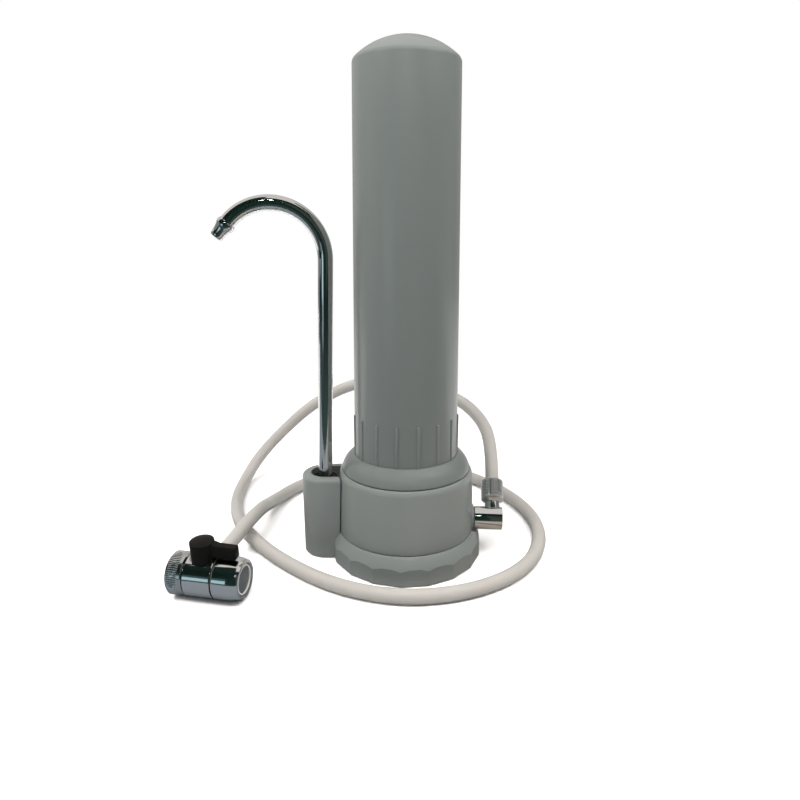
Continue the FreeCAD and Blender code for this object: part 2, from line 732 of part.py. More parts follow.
def make_canister():
    """Housing with its threaded spigot, flared shoulder, grip ribs and domed top."""
    body = new_body("canister")
    dome_top_z = body_high_z + S.dome_height
    dome_r = (body_high_r * body_high_r + S.dome_height * S.dome_height) / (S.dome_height * 2)
    inner_high_r = body_high_r - S.canister_wall
    inner_dome_r = (inner_high_r * inner_high_r + S.dome_height * S.dome_height) / (S.dome_height * 2)
    groove_low_z = spigot_low_z + S.seal_groove_z
    groove_r = spigot_r - S.seal_cord_r * 2 + S.spigot_clear
    sweep_round(body, "shell", [
        (spigot_r - S.spigot_wall, spigot_low_z), (spigot_r, spigot_low_z), (spigot_r, groove_low_z),
        (groove_r - S.fit, groove_low_z), (groove_r - S.fit, groove_low_z + S.seal_cord_r * 2 + 0.3),
        (spigot_r, groove_low_z + S.seal_cord_r * 2 + 0.3), (spigot_r, flange_z), (flange_r, flange_z),
        (body_low_r + S.shoulder_step, shoulder_top_z), (body_low_r, shoulder_top_z),
        (body_high_r, body_high_z), (0, dome_top_z), (0, dome_top_z - S.canister_wall),
        (inner_high_r, body_high_z - S.canister_wall), (body_low_r - S.canister_wall, shoulder_top_z),
        (spigot_r - S.spigot_wall, flange_z)],
        {7: S.shoulder_round, 10: dome_r, 12: -inner_dome_r})
    soften(body, "dome_edge", S.dome_edge, lambda e: is_circle(e, body_high_r, body_high_z))
    turn = math.radians(float(S.rib_turn) + 180 / float(S.rib_count) - 90)
    centre = body_low_r + S.rib_proud - S.rib_r
    spot = at(centre * math.cos(turn), centre * math.sin(turn), shoulder_top_z - S.rib_r)
    rib = bar(body, "rib", S.rib_r, rib_top_z - shoulder_top_z, spot)
    cap = body.newObject("PartDesign::AdditiveSphere", "rib_end")
    bind(cap, "Radius", S.rib_r)
    cap.Placement = spot * at(0, 0, rib_top_z - shoulder_top_z)
    doc.recompute()
    ring_of(body, "ribs", [rib, cap], S.rib_count)
    lean = Rotation(Vector(0, 0, 1), float(S.vent_turn)) * Rotation(Vector(0, 1, 0), float(S.vent_lean))
    bar(body, "dome_boss", S.vent_r, S.canister_wall / 2 + S.vent_height,
        at(0, 0, dome_top_z - dome_r, lean) * at(0, 0, dome_r - S.canister_wall / 2))
    return body


def make_cartridge():
    """Ceramic candle with its carbon core on a plugged plastic cap."""
    spigot = S.centre_bore_r - S.fit
    low = centre_bore_z + S.groove_start
    groove = spigot - S.small_cord_r * 2
    wide = S.small_cord_r * 2 + S.groove_play
    first = low + S.groove_start
    second = first + S.groove_pitch
    cup_r = candle_r + S.fit
    turned("candle_cap", [
        (S.cap_bore_r, low), (spigot, low), (spigot, first), (groove, first), (groove, first + wide),
        (spigot, first + wide), (spigot, second), (groove, second), (groove, second + wide),
        (spigot, second + wide), (spigot, centre_top_z), (cup_r + S.cap_wall, centre_top_z),
        (cup_r + S.cap_wall, cap_floor_z + S.cap_rim), (cup_r, cap_floor_z + S.cap_rim), (cup_r, cap_floor_z),
        (S.cap_bore_r, cap_floor_z)])
    ring_r = spigot - S.small_cord_r + S.fit / 2
    rings("candle_o_rings", ring_r, S.small_cord_r, [first + wide / 2, second + wide / 2])
    inner_r = candle_r - S.candle_wall
    dome_z = candle_top_z - candle_r
    turned("candle_shell", [
        (inner_r, cap_floor_z), (candle_r, cap_floor_z), (candle_r, dome_z), (0, candle_top_z),
        (0, candle_top_z - S.candle_wall), (inner_r, dome_z)], {2: candle_r, 4: -inner_r})
    turned("carbon_core", [
        (S.core_bore_r, cap_floor_z), (inner_r - S.fit, cap_floor_z),
        (inner_r - S.fit, dome_z - S.core_top_gap), (S.core_bore_r, dome_z - S.core_top_gap)])
    seal_z = spigot_low_z + S.seal_groove_z + S.seal_cord_r + 0.15
    rings("canister_o_ring", thread_r - S.seal_cord_r - S.fit / 2, S.seal_cord_r, [seal_z])


def make_spout():
    """Bent tube, its brazed bush with two cord rings, the tip, and the collar over the socket."""
    body = new_body("spout_tube", SPOUT)
    turn = "(dims.spout_bend_turn * 1 deg)"
    bend_turn = math.radians(float(S.spout_bend_turn))
    end_x = S.spout_bend_r - S.spout_bend_r * Size(f"cos{turn}", math.cos(bend_turn))
    end_z = spout_bend_z + S.spout_bend_r * Size(f"sin{turn}", math.sin(bend_turn))
    section = new_sketch(body, "tube_section", "XY_Plane", spout_end_z)
    draw_circle(section, 0, 0, S.spout_tube_r)
    draw_circle(section, 0, 0, S.spout_tube_r - S.spout_tube_wall)
    path = new_sketch(body, "tube_path", "XZ_Plane")
    foot = Vector(0, float(spout_end_z), 0)
    bend_start = Vector(0, float(spout_bend_z), 0)
    line = path.addGeometry(Part.LineSegment(foot, bend_start))
    bend_radius = float(S.spout_bend_r)
    bend = Part.Circle(bend_start + Vector(bend_radius, 0, 0), Vector(0, 0, 1), bend_radius)
    arc = path.addGeometry(Part.ArcOfCircle(bend, math.pi - bend_turn, math.pi))
    pin_point(path, line, 1, 0, spout_end_z)
    pin_point(path, line, 2, 0, spout_bend_z)
    path.addConstraint(Sketcher.Constraint("Coincident", line, 2, arc, 2))
    pin_point(path, arc, 3, S.spout_bend_r, spout_bend_z)
    tail_x = end_x + S.tip_socket * Size(f"sin{turn}", math.sin(bend_turn))
    tail_z = end_z + S.tip_socket * Size(f"cos{turn}", math.cos(bend_turn))
    tail = path.addGeometry(Part.LineSegment(Vector(float(end_x), float(end_z), 0),
                                             Vector(float(tail_x), float(tail_z), 0)))
    path.addConstraint(Sketcher.Constraint("Coincident", arc, 1, tail, 1))
    index = path.addConstraint(Sketcher.Constraint("DistanceX", arc, 1, float(end_x)))
    path.setExpression(f"Constraints[{index}]", end_x.text)
    pin_point(path, tail, 2, tail_x, tail_z)
    tube = body.newObject("PartDesign::AdditivePipe", "tube")
    tube.Profile = section
    tube.Spine = path

    tip_place = SPOUT * at(end_x, 0, end_z, Rotation(Vector(0, 1, 0), float(S.spout_bend_turn)))
    bore_r = S.spout_tube_r + S.fit
    turned("spout_tip", [
        (bore_r, 0), (tip_collar_r - 0.4, 0), (tip_collar_r, 0.4), (tip_collar_r, S.tip_collar_length),
        (tip_collar_r - 0.6, S.tip_collar_length + 0.7), (tip_end_r, S.tip_length),
        (tip_bore_r, S.tip_length), (tip_bore_r, S.tip_socket), (bore_r, S.tip_socket)],
        {4: S.tip_length * 2.4}, tip_place)
    groove = bush_r - S.bush_cord_r * 2
    wide = S.bush_cord_r * 2 + S.groove_play
    first = spout_end_z + S.groove_start
    second = first + S.groove_pitch - 0.5
    turned("spout_bush", [
        (bore_r, spout_end_z), (bush_r, spout_end_z), (bush_r, first), (groove, first),
        (groove, first + wide), (bush_r, first + wide), (bush_r, second), (groove, second),
        (groove, second + wide),
        (bush_r, second + wide), (bush_r, bush_flange_z), (bush_flange_r, bush_flange_z),
        (bush_flange_r, bush_flange_z + S.bush_flange_thick), (bore_r, bush_flange_z + S.bush_flange_thick)],
        place=SPOUT)
    rings("spout_o_rings", bush_r - S.bush_cord_r + S.fit / 2, S.bush_cord_r,
          [first + wide / 2, second + wide / 2], SPOUT)
    turned("spout_collar", [
        (bore_r, collar_low_z), (collar_thread_r, collar_low_z), (collar_thread_r, socket_top_z),
        (collar_head_r, socket_top_z), (collar_head_r, socket_top_z + S.collar_head_height - 1.0),
        (collar_head_r - 1.2, socket_top_z + S.collar_head_height),
        (bore_r, socket_top_z + S.collar_head_height)], place=SPOUT)


def make_compression_set(prefix, frame, nut_radius, nut_low, nut_top, stub_length, chamfer):
    """Knurled nut, cone sleeve and tube insert that hold the hose on a stub along the frame's Z."""
    thread_r = stub_r + S.fit
    room_r = S.hose_r + S.sleeve_wall + S.fit * 2
    hole_r = S.hose_r + S.hose_hole_gap
    lip_z = nut_top - S.nut_lip
    nut = new_body(f"{prefix}_nut", frame)
    sweep_round(nut, f"{prefix}_nut_turn", [
        (thread_r, nut_low), (thread_r + 0.6, nut_low), (nut_radius, nut_low + chamfer),
        (nut_radius, nut_top - 0.5), (nut_radius - 0.5, nut_top), (hole_r, nut_top), (hole_r, lip_z),
        (room_r, lip_z), (room_r, stub_length), (thread_r, stub_length)])
    knurl = bar(nut, f"{prefix}_knurl", S.knurl_r, nut_top - nut_low - chamfer,
                at(nut_radius + S.knurl_r / 3, 0, nut_low + chamfer), cut=True)
    doc.recompute()
    ring_of(nut, f"{prefix}_knurls", knurl, S.knurl_count)
    sleeve_low = stub_length + S.insert_flange
    sleeve_top = lip_z - 0.1
    turned(f"{prefix}_sleeve", [
        (S.hose_r + S.fit, sleeve_low), (S.hose_r + S.sleeve_wall - 0.5, sleeve_low),
        (S.hose_r + S.sleeve_wall, sleeve_low + 1.5), (S.hose_r + S.sleeve_wall, sleeve_top),
        (S.hose_r + S.fit, sleeve_top)], place=frame)
    insert_r = S.hose_r - S.hose_wall - S.fit
    turned(f"{prefix}_insert", [
        (insert_r - S.insert_wall, stub_length), (stub_r - 0.8, stub_length),
        (stub_r - 0.8, stub_length + S.insert_flange), (insert_r, stub_length + S.insert_flange),
        (insert_r, nut_top - 1.0), (insert_r - S.insert_wall, nut_top - 1.0)], place=frame)


def make_inlet():
    """Seal, elbow with its leaning stub, cord ring and the compression set."""
    along = at(0, 0, inlet_z, YAW * TO_X)
    turned("inlet_seal", [
        (elbow_spigot_r + S.fit, inlet_face_x), (S.elbow_r - 0.5, inlet_face_x),
        (S.elbow_r - 0.5, elbow_start_x), (elbow_spigot_r + S.fit, elbow_start_x)], place=along)
    body = new_body("inlet_elbow", INLET)
    start_x = inlet_bore_x + 1.0
    groove_x = start_x + 2.0
    groove_r = elbow_spigot_r - S.small_cord_r * 2
    wide = S.small_cord_r * 2 + S.groove_play
    sweep_round(body, "elbow_turn", [
        (start_x, 0), (start_x, elbow_spigot_r), (groove_x, elbow_spigot_r), (groove_x, groove_r),
        (groove_x + wide, groove_r), (groove_x + wide, elbow_spigot_r), (elbow_start_x, elbow_spigot_r),
        (elbow_start_x, S.elbow_r - 0.4), (elbow_start_x + 0.4, S.elbow_r), (elbow_end_x - 0.7, S.elbow_r),
        (elbow_end_x, S.elbow_r - 0.7), (elbow_end_x, 0)], axis="H_Axis")
    bar(body, "stub", stub_r, S.stub_length, at(stub_x))
    bar(body, "elbow_way", elbow_bore_r, stub_x - start_x, at(start_x, rotation=TO_X), cut=True)
    bar(body, "stub_way", S.hose_r - S.hose_wall, S.stub_length, at(stub_x), cut=True)
    rings("inlet_o_ring", inlet_bore_r - S.small_cord_r - S.fit / 2, S.small_cord_r,
          [groove_x + wide / 2], along)
    make_compression_set("inlet", STUB, nut_r, S.nut_low, S.nut_top, S.stub_length, S.nut_chamfer)


def make_valve():
    """Diverter valve: body with ball, seats, spindle and lever, swivel nut, and the aerated outlet."""
    back_x = S.valve_shoulder_x + S.swivel_gap + S.swivel_lip + S.fit
    face_x = back_x + S.valve_flange_thick
    cavity_r = valve_ball_r + S.seat_rim
    cavity_x = valve_ball_r + S.seat_thick
    split_x = outlet_split_x
    thread_end_x = split_x + S.outlet_thread_length
    body = new_body("diverter_body", VALVE)
    sweep_round(body, "valve_turn", [
        (-face_x, 0), (-face_x, valve_flange_r), (-back_x, valve_flange_r), (-back_x, valve_neck_r),
        (-S.valve_shoulder_x, valve_neck_r), (-S.valve_shoulder_x, S.valve_r - 0.8),
        (-S.valve_shoulder_x + 0.8, S.valve_r), (S.valve_split_x - 0.4, S.valve_r),
        (S.valve_split_x, S.valve_r - 0.4), (S.valve_split_x, outlet_thread_r),
        (thread_end_x, outlet_thread_r), (thread_end_x, 0)], axis="H_Axis")
    bar(body, "port_boss", port_r, S.hose_nut_low - 0.4, at(rotation=TO_Y))
    bar(body, "port_stub", stub_r, S.port_length, at(rotation=TO_Y))
    bar(body, "lever_flat", S.lever_hub_r + 0.2, S.valve_r, at(0, 0, lever_seat_z), cut=True)
    bar(body, "valve_way", S.valve_way_r, face_x + thread_end_x, at(-face_x, rotation=TO_X), cut=True)
    bar(body, "ball_room", cavity_r, cavity_x + thread_end_x, at(-cavity_x, rotation=TO_X), cut=True)
    bar(body, "port_way", S.hose_r - S.hose_wall, S.port_length, at(rotation=TO_Y), cut=True)
    bar(body, "spindle_bore", S.spindle_r + S.fit, lever_seat_z, at(), cut=True)
    bar(body, "spindle_seal_room", S.spindle_r + S.small_cord_r * 2, S.small_cord_r * 2 + S.groove_play,
        at(0, 0, lever_seat_z - S.small_cord_r * 2 - 0.2), cut=True)
    rings("diverter_spindle_o_ring", S.spindle_r + S.small_cord_r, S.small_cord_r - S.fit / 2,
          [lever_seat_z - S.small_cord_r - 0.1], VALVE)

    seat_r = valve_ball_r + S.fit
    seat_x = valve_ball_r * 0.7
    seat_arc_r = Size(f"sqrt({(seat_r * seat_r - seat_x * seat_x).text})",
                      math.sqrt(float(seat_r * seat_r - seat_x * seat_x)))
    seat_way_x = Size(f"sqrt({(seat_r * seat_r - S.valve_way_r * S.valve_way_r).text})",
                      math.sqrt(float(seat_r * seat_r - S.valve_way_r * S.valve_way_r)))
    for label, side in (("diverter_seat_in", TO_MINUS_X), ("diverter_seat_out", TO_X)):
        turned(label, [
            (S.valve_way_r, seat_way_x), (seat_arc_r, seat_x), (cavity_r - S.fit, seat_x),
            (cavity_r - S.fit, cavity_x), (S.valve_way_r, cavity_x)], {0: -seat_r}, VALVE * at(rotation=side))
    turned("diverter_gland", [
        (S.valve_way_r, cavity_x), (cavity_r - S.fit, cavity_x), (cavity_r - S.fit, thread_end_x),
        (S.valve_way_r, thread_end_x)], place=VALVE * at(rotation=TO_X))

    ball = new_body("diverter_ball", VALVE)
    globe = ball.newObject("PartDesign::AdditiveSphere", "globe")
    bind(globe, "Radius", valve_ball_r)
    bar(ball, "ball_way", S.valve_way_r - 0.2, valve_ball_r * 2, at(-valve_ball_r, rotation=TO_X), cut=True)
    bar(ball, "ball_side_way", S.valve_way_r - 0.2, valve_ball_r, at(rotation=TO_Y * TO_Y), cut=True)
    tang = new_sketch(ball, "tang_slot_plan", "XY_Plane", valve_ball_r - S.tang_height)
    tang_half = S.tang_wide / 2 + S.fit
    draw_outline(tang, [(-valve_ball_r, -tang_half), (valve_ball_r, -tang_half),
                        (valve_ball_r, tang_half), (-valve_ball_r, tang_half)])
    push(ball, "tang_slot", tang, S.tang_height + 1.0, "Pocket", reverse=True)

    spindle = new_body("diverter_spindle", VALVE)
    spindle_low = valve_ball_r + 0.1
    bar(spindle, "stem", S.spindle_r, lever_seat_z + S.spindle_in_lever - spindle_low, at(0, 0, spindle_low))
    key = new_sketch(spindle, "tang_plan", "XY_Plane", valve_ball_r - S.tang_height + S.fit)
    half = S.tang_wide / 2
    draw_outline(key, [(-S.spindle_r + 0.4, -half), (S.spindle_r - 0.4, -half), (S.spindle_r - 0.4, half),
                       (-S.spindle_r + 0.4, half)])
    push(spindle, "tang", key, S.tang_height + 1.0)

    lever = new_body("diverter_lever", VALVE)
    hub_top = lever_seat_z + S.lever_hub_height
    crown_r = (S.lever_hub_r * S.lever_hub_r + S.lever_crown * S.lever_crown) / (S.lever_crown * 2)
    side = new_sketch(lever, "arm_side", "XZ_Plane")
    draw_outline(side, [
        (0, lever_arm_low), (S.lever_reach, lever_arm_low), (S.lever_reach, lever_arm_high),
        (S.lever_hub_r + 4.0, lever_arm_high + 0.4), (S.lever_hub_r + 0.5, lever_arm_high + 2.2),
        (0, lever_arm_high + 3.0)])
    push(lever, "arm", side, S.lever_arm_width, both=True)
    soften(lever, "arm_round", S.lever_arm_round,
           lambda e: e.BoundBox.YLength < 0.1)
    sweep_round(lever, "hub", [
        (0, lever_seat_z + S.fit), (S.lever_hub_r - 0.6, lever_seat_z + S.fit),
        (S.lever_hub_r, lever_seat_z + 0.7), (S.lever_hub_r, hub_top - S.lever_crown), (0, hub_top)],
        {3: crown_r})
    bar(lever, "lever_bore", S.spindle_r + S.fit, S.spindle_in_lever + 0.1, at(0, 0, lever_seat_z), cut=True)

    nut = new_body("diverter_swivel_nut", VALVE)
    right_x = S.valve_shoulder_x + S.swivel_gap
    left_x = right_x + S.swivel_length
    washer_x = face_x + S.washer_thick
    sweep_round(nut, "swivel_turn", [
        (-left_x, swivel_thread_r + 0.3), (-left_x, swivel_r - 0.9), (-left_x + 0.9, swivel_r),
        (-right_x - 0.8, swivel_r), (-right_x, swivel_r - 0.8), (-right_x, valve_neck_r + S.fit),
        (-right_x - S.swivel_lip, valve_neck_r + S.fit), (-right_x - S.swivel_lip, swivel_thread_r + 0.3),
        (-washer_x, swivel_thread_r + 0.3), (-washer_x, swivel_thread_r), (-left_x + 0.4, swivel_thread_r)],
        axis="H_Axis")
    spot = at(-left_x + 0.9, 0, swivel_r + S.flute_r / 4, TO_X)
    flute = bar(nut, "flute", S.flute_r, S.swivel_length - 3.2, spot, cut=True)
    doc.recompute()
    ring_of(nut, "flutes", flute, S.flute_count, "X_Axis")
    turned("diverter_washer", [
        (washer_hole_r, face_x), (swivel_thread_r - 0.3, face_x), (swivel_thread_r - 0.3, washer_x),
        (washer_hole_r, washer_x)], place=VALVE * at(rotation=TO_MINUS_X))

    end_x = outlet_end_x
    room_r = outlet_mouth_r + S.outlet_step
    step_x = end_x - S.outlet_lip
    sleeve = new_body("diverter_outlet_sleeve", VALVE)
    sweep_round(sleeve, "outlet_turn", [
        (split_x, S.valve_r - 0.4), (split_x + 0.4, S.valve_r), (end_x - S.outlet_taper, S.valve_r),
        (end_x - 0.6, outlet_end_r), (end_x, outlet_end_r - 0.6), (end_x, outlet_mouth_r + 0.3),
        (end_x - 0.3, outlet_mouth_r), (step_x, outlet_mouth_r), (step_x, room_r),
        (thread_end_x + 0.2, room_r), (thread_end_x + 0.2, outlet_thread_r + S.fit),
        (split_x, outlet_thread_r + S.fit)], {2: -S.outlet_bow_r}, axis="H_Axis")
    ring_low = thread_end_x
    ring_top = thread_end_x + S.aerator_seal_thick
    out = VALVE * at(rotation=TO_X)
    turned("aerator_washer", [
        (aerator_way_r, ring_low), (room_r - 0.2, ring_low), (room_r - 0.2, ring_top),
        (aerator_way_r, ring_top)], place=out)
    screen_x = end_x - S.screen_back
    cup_rim_r = outlet_mouth_r - S.aerator_ring_gap
    turned("aerator_cup", [
        (aerator_way_r, ring_top), (room_r - 0.2, ring_top), (room_r - 0.2, step_x - 0.1),
        (cup_rim_r, step_x - 0.1), (cup_rim_r, end_x - 0.5), (screen_r + S.fit, end_x - 0.5),
        (screen_r + S.fit, screen_x), (aerator_way_r, screen_x)], place=out)
    disc = new_body("aerator_disc", out)
    bar(disc, "disc_plate", aerator_way_r - S.fit, 1.6, at(0, 0, ring_top + 1.0))
    hole = bar(disc, "disc_hole", 0.7, 1.6, at(aerator_way_r * 0.68, 0, ring_top + 1.0), cut=True)
    doc.recompute()
    ring_of(disc, "disc_holes", hole, S.disc_holes)
    screen = new_body("aerator_screen", out)
    bar(screen, "screen_plate", screen_r, S.screen_thick, at(0, 0, screen_x))
    make_compression_set("diverter_hose", VALVE_PORT, hose_nut_r, S.hose_nut_low, S.hose_nut_top,
                         S.port_length, S.hose_nut_chamfer)


def hose_points():
    """The route, with the nuts' mouths and the straight runs out of them at its ends."""
    start = [STUB.multVec(Vector(0, 0, float(S.nut_top + run))) for run in (0, S.hose_start_run)]
    end = [VALVE_PORT.multVec(Vector(0, 0, float(S.hose_nut_top + run))) for run in (S.hose_end_run, 0)]
    return start + [Vector(*p) for p in HOSE_ROUTE] + end


def tube_path(points, first_extra, last_extra):
    """Straight runs and tangent arcs through the points, run on at both ends into the nuts."""
    points[0] = points[0] + (points[0] - points[1]).normalize() * first_extra
    points[-1] = points[-1] + (points[-1] - points[-2]).normalize() * last_extra
    edges = []
    radii = []
    start = points[0]
    for before, corner, after in zip(points, points[1:], points[2:]):
        back = before - corner
        ahead = after - corner
        shorter = min(back.Length, ahead.Length)
        back.normalize()
        ahead.normalize()
        reach = BEND_SHARE * shorter
        half_turn = (math.pi - back.getAngle(ahead)) / 2
        radii.append(reach / math.tan(half_turn))
        arc_start = corner + back * reach
        arc_end = corner + ahead * reach
        to_centre = (back + ahead).normalize()
        middle = corner + to_centre * (radii[-1] / math.cos(half_turn) - radii[-1])
        edges.append(Part.LineSegment(start, arc_start).toShape())
        edges.append(Part.Arc(arc_start, middle, arc_end).toShape())
        start = arc_end
    edges.append(Part.LineSegment(start, points[-1]).toShape())
    return Part.Wire(edges), radii, points


def make_hose():
    """The hose as a tube of real wall along its route."""
    hose = doc.addObject("Part::Feature", "hose")
    start = float(S.nut_top - S.stub_length - S.insert_flange - S.end_slack)
    end = float(S.hose_nut_top - S.port_length - S.insert_flange - S.end_slack)
    path, radii, points = tube_path(hose_points(), start, end)
    along = (points[1] - points[0]).normalize()
    solids = []
    for radius in (S.hose_r, S.hose_r - S.hose_wall):
        ring = Part.Wire([Part.Circle(points[0], along, float(radius)).toShape()])
        solids.append(path.makePipeShell([ring], True, False))
    hose.Shape = solids[0].cut(solids[1])
    parts.append(hose)
    area = math.pi * (float(S.hose_r) ** 2 - float(S.hose_r - S.hose_wall) ** 2)
    print("hose length %.1f mm, tightest bend %.1f mm" % (path.Length, min(radii)))
    print("bend radii", [round(r, 1) for r in radii])
    print("hose volume over section times length: %.4f" % (hose.Shape.Volume / (area * path.Length)))


def export():
    """Check every object, then write one STEP file for each sub-part."""
    doc.recompute()
    bad = [o.Name for o in doc.Objects if "Invalid" in o.State or "Error" in o.State]
    for part in parts:
        shape = part.Shape
        if shape.isNull() or not shape.isValid() or not shape.Solids:
            bad.append(part.Label)
    if bad:
        raise RuntimeError(f"these objects failed: {bad}")
    os.makedirs("parts", exist_ok=True)
    for part in parts:
        part.Shape.exportStep(os.path.join("parts", f"{part.Label}.step"))
        print(f"{part.Label}: {len(part.Shape.Solids)} solid(s), {part.Shape.Volume / 1000:.2f} cm3")


make_foot()
make_base_parts()
make_head()
make_canister()
make_cartridge()
make_spout()
make_inlet()
make_valve()
make_hose()
export()
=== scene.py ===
"""Countertop water purifier: the pieces that show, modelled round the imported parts, with their finishes and the studio.

Lengths in the tables below are millimetres, and MM turns them into Blender's metres. +Z is up, the inlet points to +X,
the spout's tower stands at -X and the front is -Y.
"""
import json
import math

import bmesh
import bpy
from bpy.props import FloatProperty, FloatVectorProperty, IntProperty, PointerProperty
from mathutils import Matrix, Vector


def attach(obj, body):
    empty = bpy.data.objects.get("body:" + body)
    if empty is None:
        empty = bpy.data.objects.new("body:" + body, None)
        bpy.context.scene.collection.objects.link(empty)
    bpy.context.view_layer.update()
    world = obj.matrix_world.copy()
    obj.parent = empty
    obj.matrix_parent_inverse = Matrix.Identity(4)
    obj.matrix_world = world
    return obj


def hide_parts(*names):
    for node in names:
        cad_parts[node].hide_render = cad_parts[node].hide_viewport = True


bl_info = {
    "name": "Countertop water purifier",
    "version": (1, 0, 0),
    "blender": (4, 5, 0),
    "location": "3D View > Sidebar > Purifier",
    "description": "Models the purifier's visible pieces and lights them in a pale studio",
    "category": "Object",
}

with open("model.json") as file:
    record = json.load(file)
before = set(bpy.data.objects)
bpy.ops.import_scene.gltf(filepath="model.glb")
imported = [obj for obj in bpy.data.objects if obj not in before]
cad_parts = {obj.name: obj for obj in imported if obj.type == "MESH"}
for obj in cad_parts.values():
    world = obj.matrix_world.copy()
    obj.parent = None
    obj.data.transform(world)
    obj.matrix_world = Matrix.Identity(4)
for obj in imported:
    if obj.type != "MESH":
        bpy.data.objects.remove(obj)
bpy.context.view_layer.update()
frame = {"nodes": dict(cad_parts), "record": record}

MM = 0.001
TINY = 0.002            # the radius, in millimetres, by which a profile's point on the axis is drawn
SMOOTH_ANGLE = math.radians(38)
TOWER_X = -0.055        # metres, all others below are millimetres
TOWER_RADIUS = 15.5
TOWER_REACH = 19        # how far its front half is drawn out towards the head
TOWER_TOP = 57.5
FLAT_REACH = 51         # from the foot's axis to the middle of a flat
SHOULDER_FOOT = 62.6    # where the canister's flared shoulder leaves the head's rim
BODY_FOOT = 73.2        # where the canister's drafted body starts
DOME_HEIGHT = 12.5
CANISTER_WALL = 3.0
CUP_RADIUS = 46.5       # the head at its lower edge
PARTING = 19.3          # height of that edge over the worktop
HOSE_HOLE = 4.98        # radius of the hole by which the hose leaves a nut

# Frames of the groups that don't stand upright on the origin. TUBE leans the spout a little towards its tip.
SPOUT = Matrix.Translation((TOWER_X, 0, 0)) @ Matrix.Rotation(math.radians(190), 4, "Z")
TUBE = (SPOUT @ Matrix.Translation((0, 0, 0.050)) @ Matrix.Rotation(math.radians(-1.9), 4, "Y")
        @ Matrix.Translation((0, 0, -0.050)))
INLET = Matrix.Translation((0, 0, 0.025)) @ Matrix.Rotation(math.radians(-5), 4, "Z")
ELBOW = INLET @ Matrix.Rotation(math.radians(-45), 4, "X")
STUB = ELBOW @ Matrix.Translation((0.060, 0, 0))
VALVE = (Matrix.Translation((-0.1235, -0.058, 0.0134)) @ Matrix.Rotation(math.radians(-11), 4, "Z")
         @ Matrix.Rotation(math.radians(4), 4, "X"))
PORT = VALVE @ Matrix.Rotation(math.radians(-90), 4, "X")
TO_X = Matrix.Rotation(math.radians(90), 4, "Y")

# Control points of the hose, from the inlet nut's mouth to the valve nut's mouth
HOSE_ROUTE = [
    (61.43, 13.79, 44.09),
    (63.31, 35.27, 65.66),
    (58.5, 68.0, 74.5),
    (42.0, 99.0, 82.0),
    (3.0, 125.0, 88.0),
    (-41.0, 137.0, 85.5),
    (-81.0, 143.0, 64.0),
    (-111.0, 140.0, 37.5),
    (-130.0, 126.0, 18.5),
    (-138.5, 100.0, 5.0),
    (-136.5, 66.0, 4.75),
    (-125.0, 28.0, 4.75),
    (-104.0, -4.0, 4.75),
    (-73.0, -36.0, 4.75),
    (-38.0, -60.0, 4.75),
    (2.0, -70.0, 4.75),
    (45.0, -61.0, 4.75),
    (80.0, -35.0, 4.75),
    (97.0, 3.0, 4.75),
    (97.5, 45.0, 4.75),
    (78.0, 90.0, 4.75),
    (46.0, 125.0, 4.75),
    (-4.0, 139.0, 4.75),
    (-54.0, 126.0, 4.75),
    (-89.0, 97.0, 4.75),
    (-105.0, 60.0, 6.5),
    (-106.5, 24.0, 18.0),
    (-114.08, -9.53, 16.85),
    (-118.84, -34.01, 15.11),
]


# ---------------------------------------------------------------- modelling by hand, in code

def only(piece):
    """Select one piece alone and make it active."""
    bpy.ops.object.select_all(action="DESELECT")
    piece.select_set(True)
    bpy.context.view_layer.objects.active = piece


def pick(piece, test, kind="VERT"):
    """In edit mode, select the vertices, edges or faces that a test on their place (and normal) chooses."""
    bpy.ops.mesh.select_mode(type=kind)
    bpy.ops.mesh.select_all(action="DESELECT")
    mesh = bmesh.from_edit_mesh(piece.data)
    if kind == "VERT":
        for vert in mesh.verts:
            vert.select_set(test(vert.co))
    elif kind == "EDGE":
        for edge in mesh.edges:
            edge.select_set(test(*(v.co for v in edge.verts)))
    else:
        for face in mesh.faces:
            face.select_set(test(face.calc_center_median(), face.normal))
    mesh.select_flush_mode()
    bmesh.update_edit_mesh(piece.data)


def settle(piece, place=None):
    """Move a piece to its place and leave its object at the origin, unturned and unscaled."""
    if place is not None:
        piece.matrix_world = place @ piece.matrix_world
    only(piece)
    bpy.ops.object.transform_apply(location=True, rotation=True, scale=True)
    return piece


def apply_modifier(piece, kind, **settings):
    """Add one modifier, set it up and apply it."""
    modifier = piece.modifiers.new(kind.title(), kind)
    for name, value in settings.items():
        setattr(modifier, name, value)
    only(piece)
    bpy.ops.object.modifier_apply(modifier=modifier.name)
    return piece


def soften(piece, width, segments=3, angle=40, smooth=SMOOTH_ANGLE):
    """Round a piece's sharp edges and shade the rest smooth."""
    if width:
        apply_modifier(piece, "BEVEL", width=width * MM, segments=segments, limit_method="ANGLE",
                       angle_limit=math.radians(angle), use_clamp_overlap=True, harden_normals=False)
    only(piece)
    bpy.ops.object.shade_smooth_by_angle(angle=smooth, keep_sharp_edges=False)
    return piece


def carve(piece, tool, operation="DIFFERENCE"):
    """Cut a tool out of a piece, or join it on, and remove the tool."""
    apply_modifier(piece, "BOOLEAN", object=tool, operation=operation, solver="MANIFOLD")
    bpy.data.objects.remove(tool)
    mesh = bmesh.new()
    mesh.from_mesh(piece.data)
    torn = sum(not edge.is_manifold for edge in mesh.edges)
    mesh.free()
    if torn:
        raise RuntimeError(f"{piece.name} has {torn} open edges after its cut")
    return piece


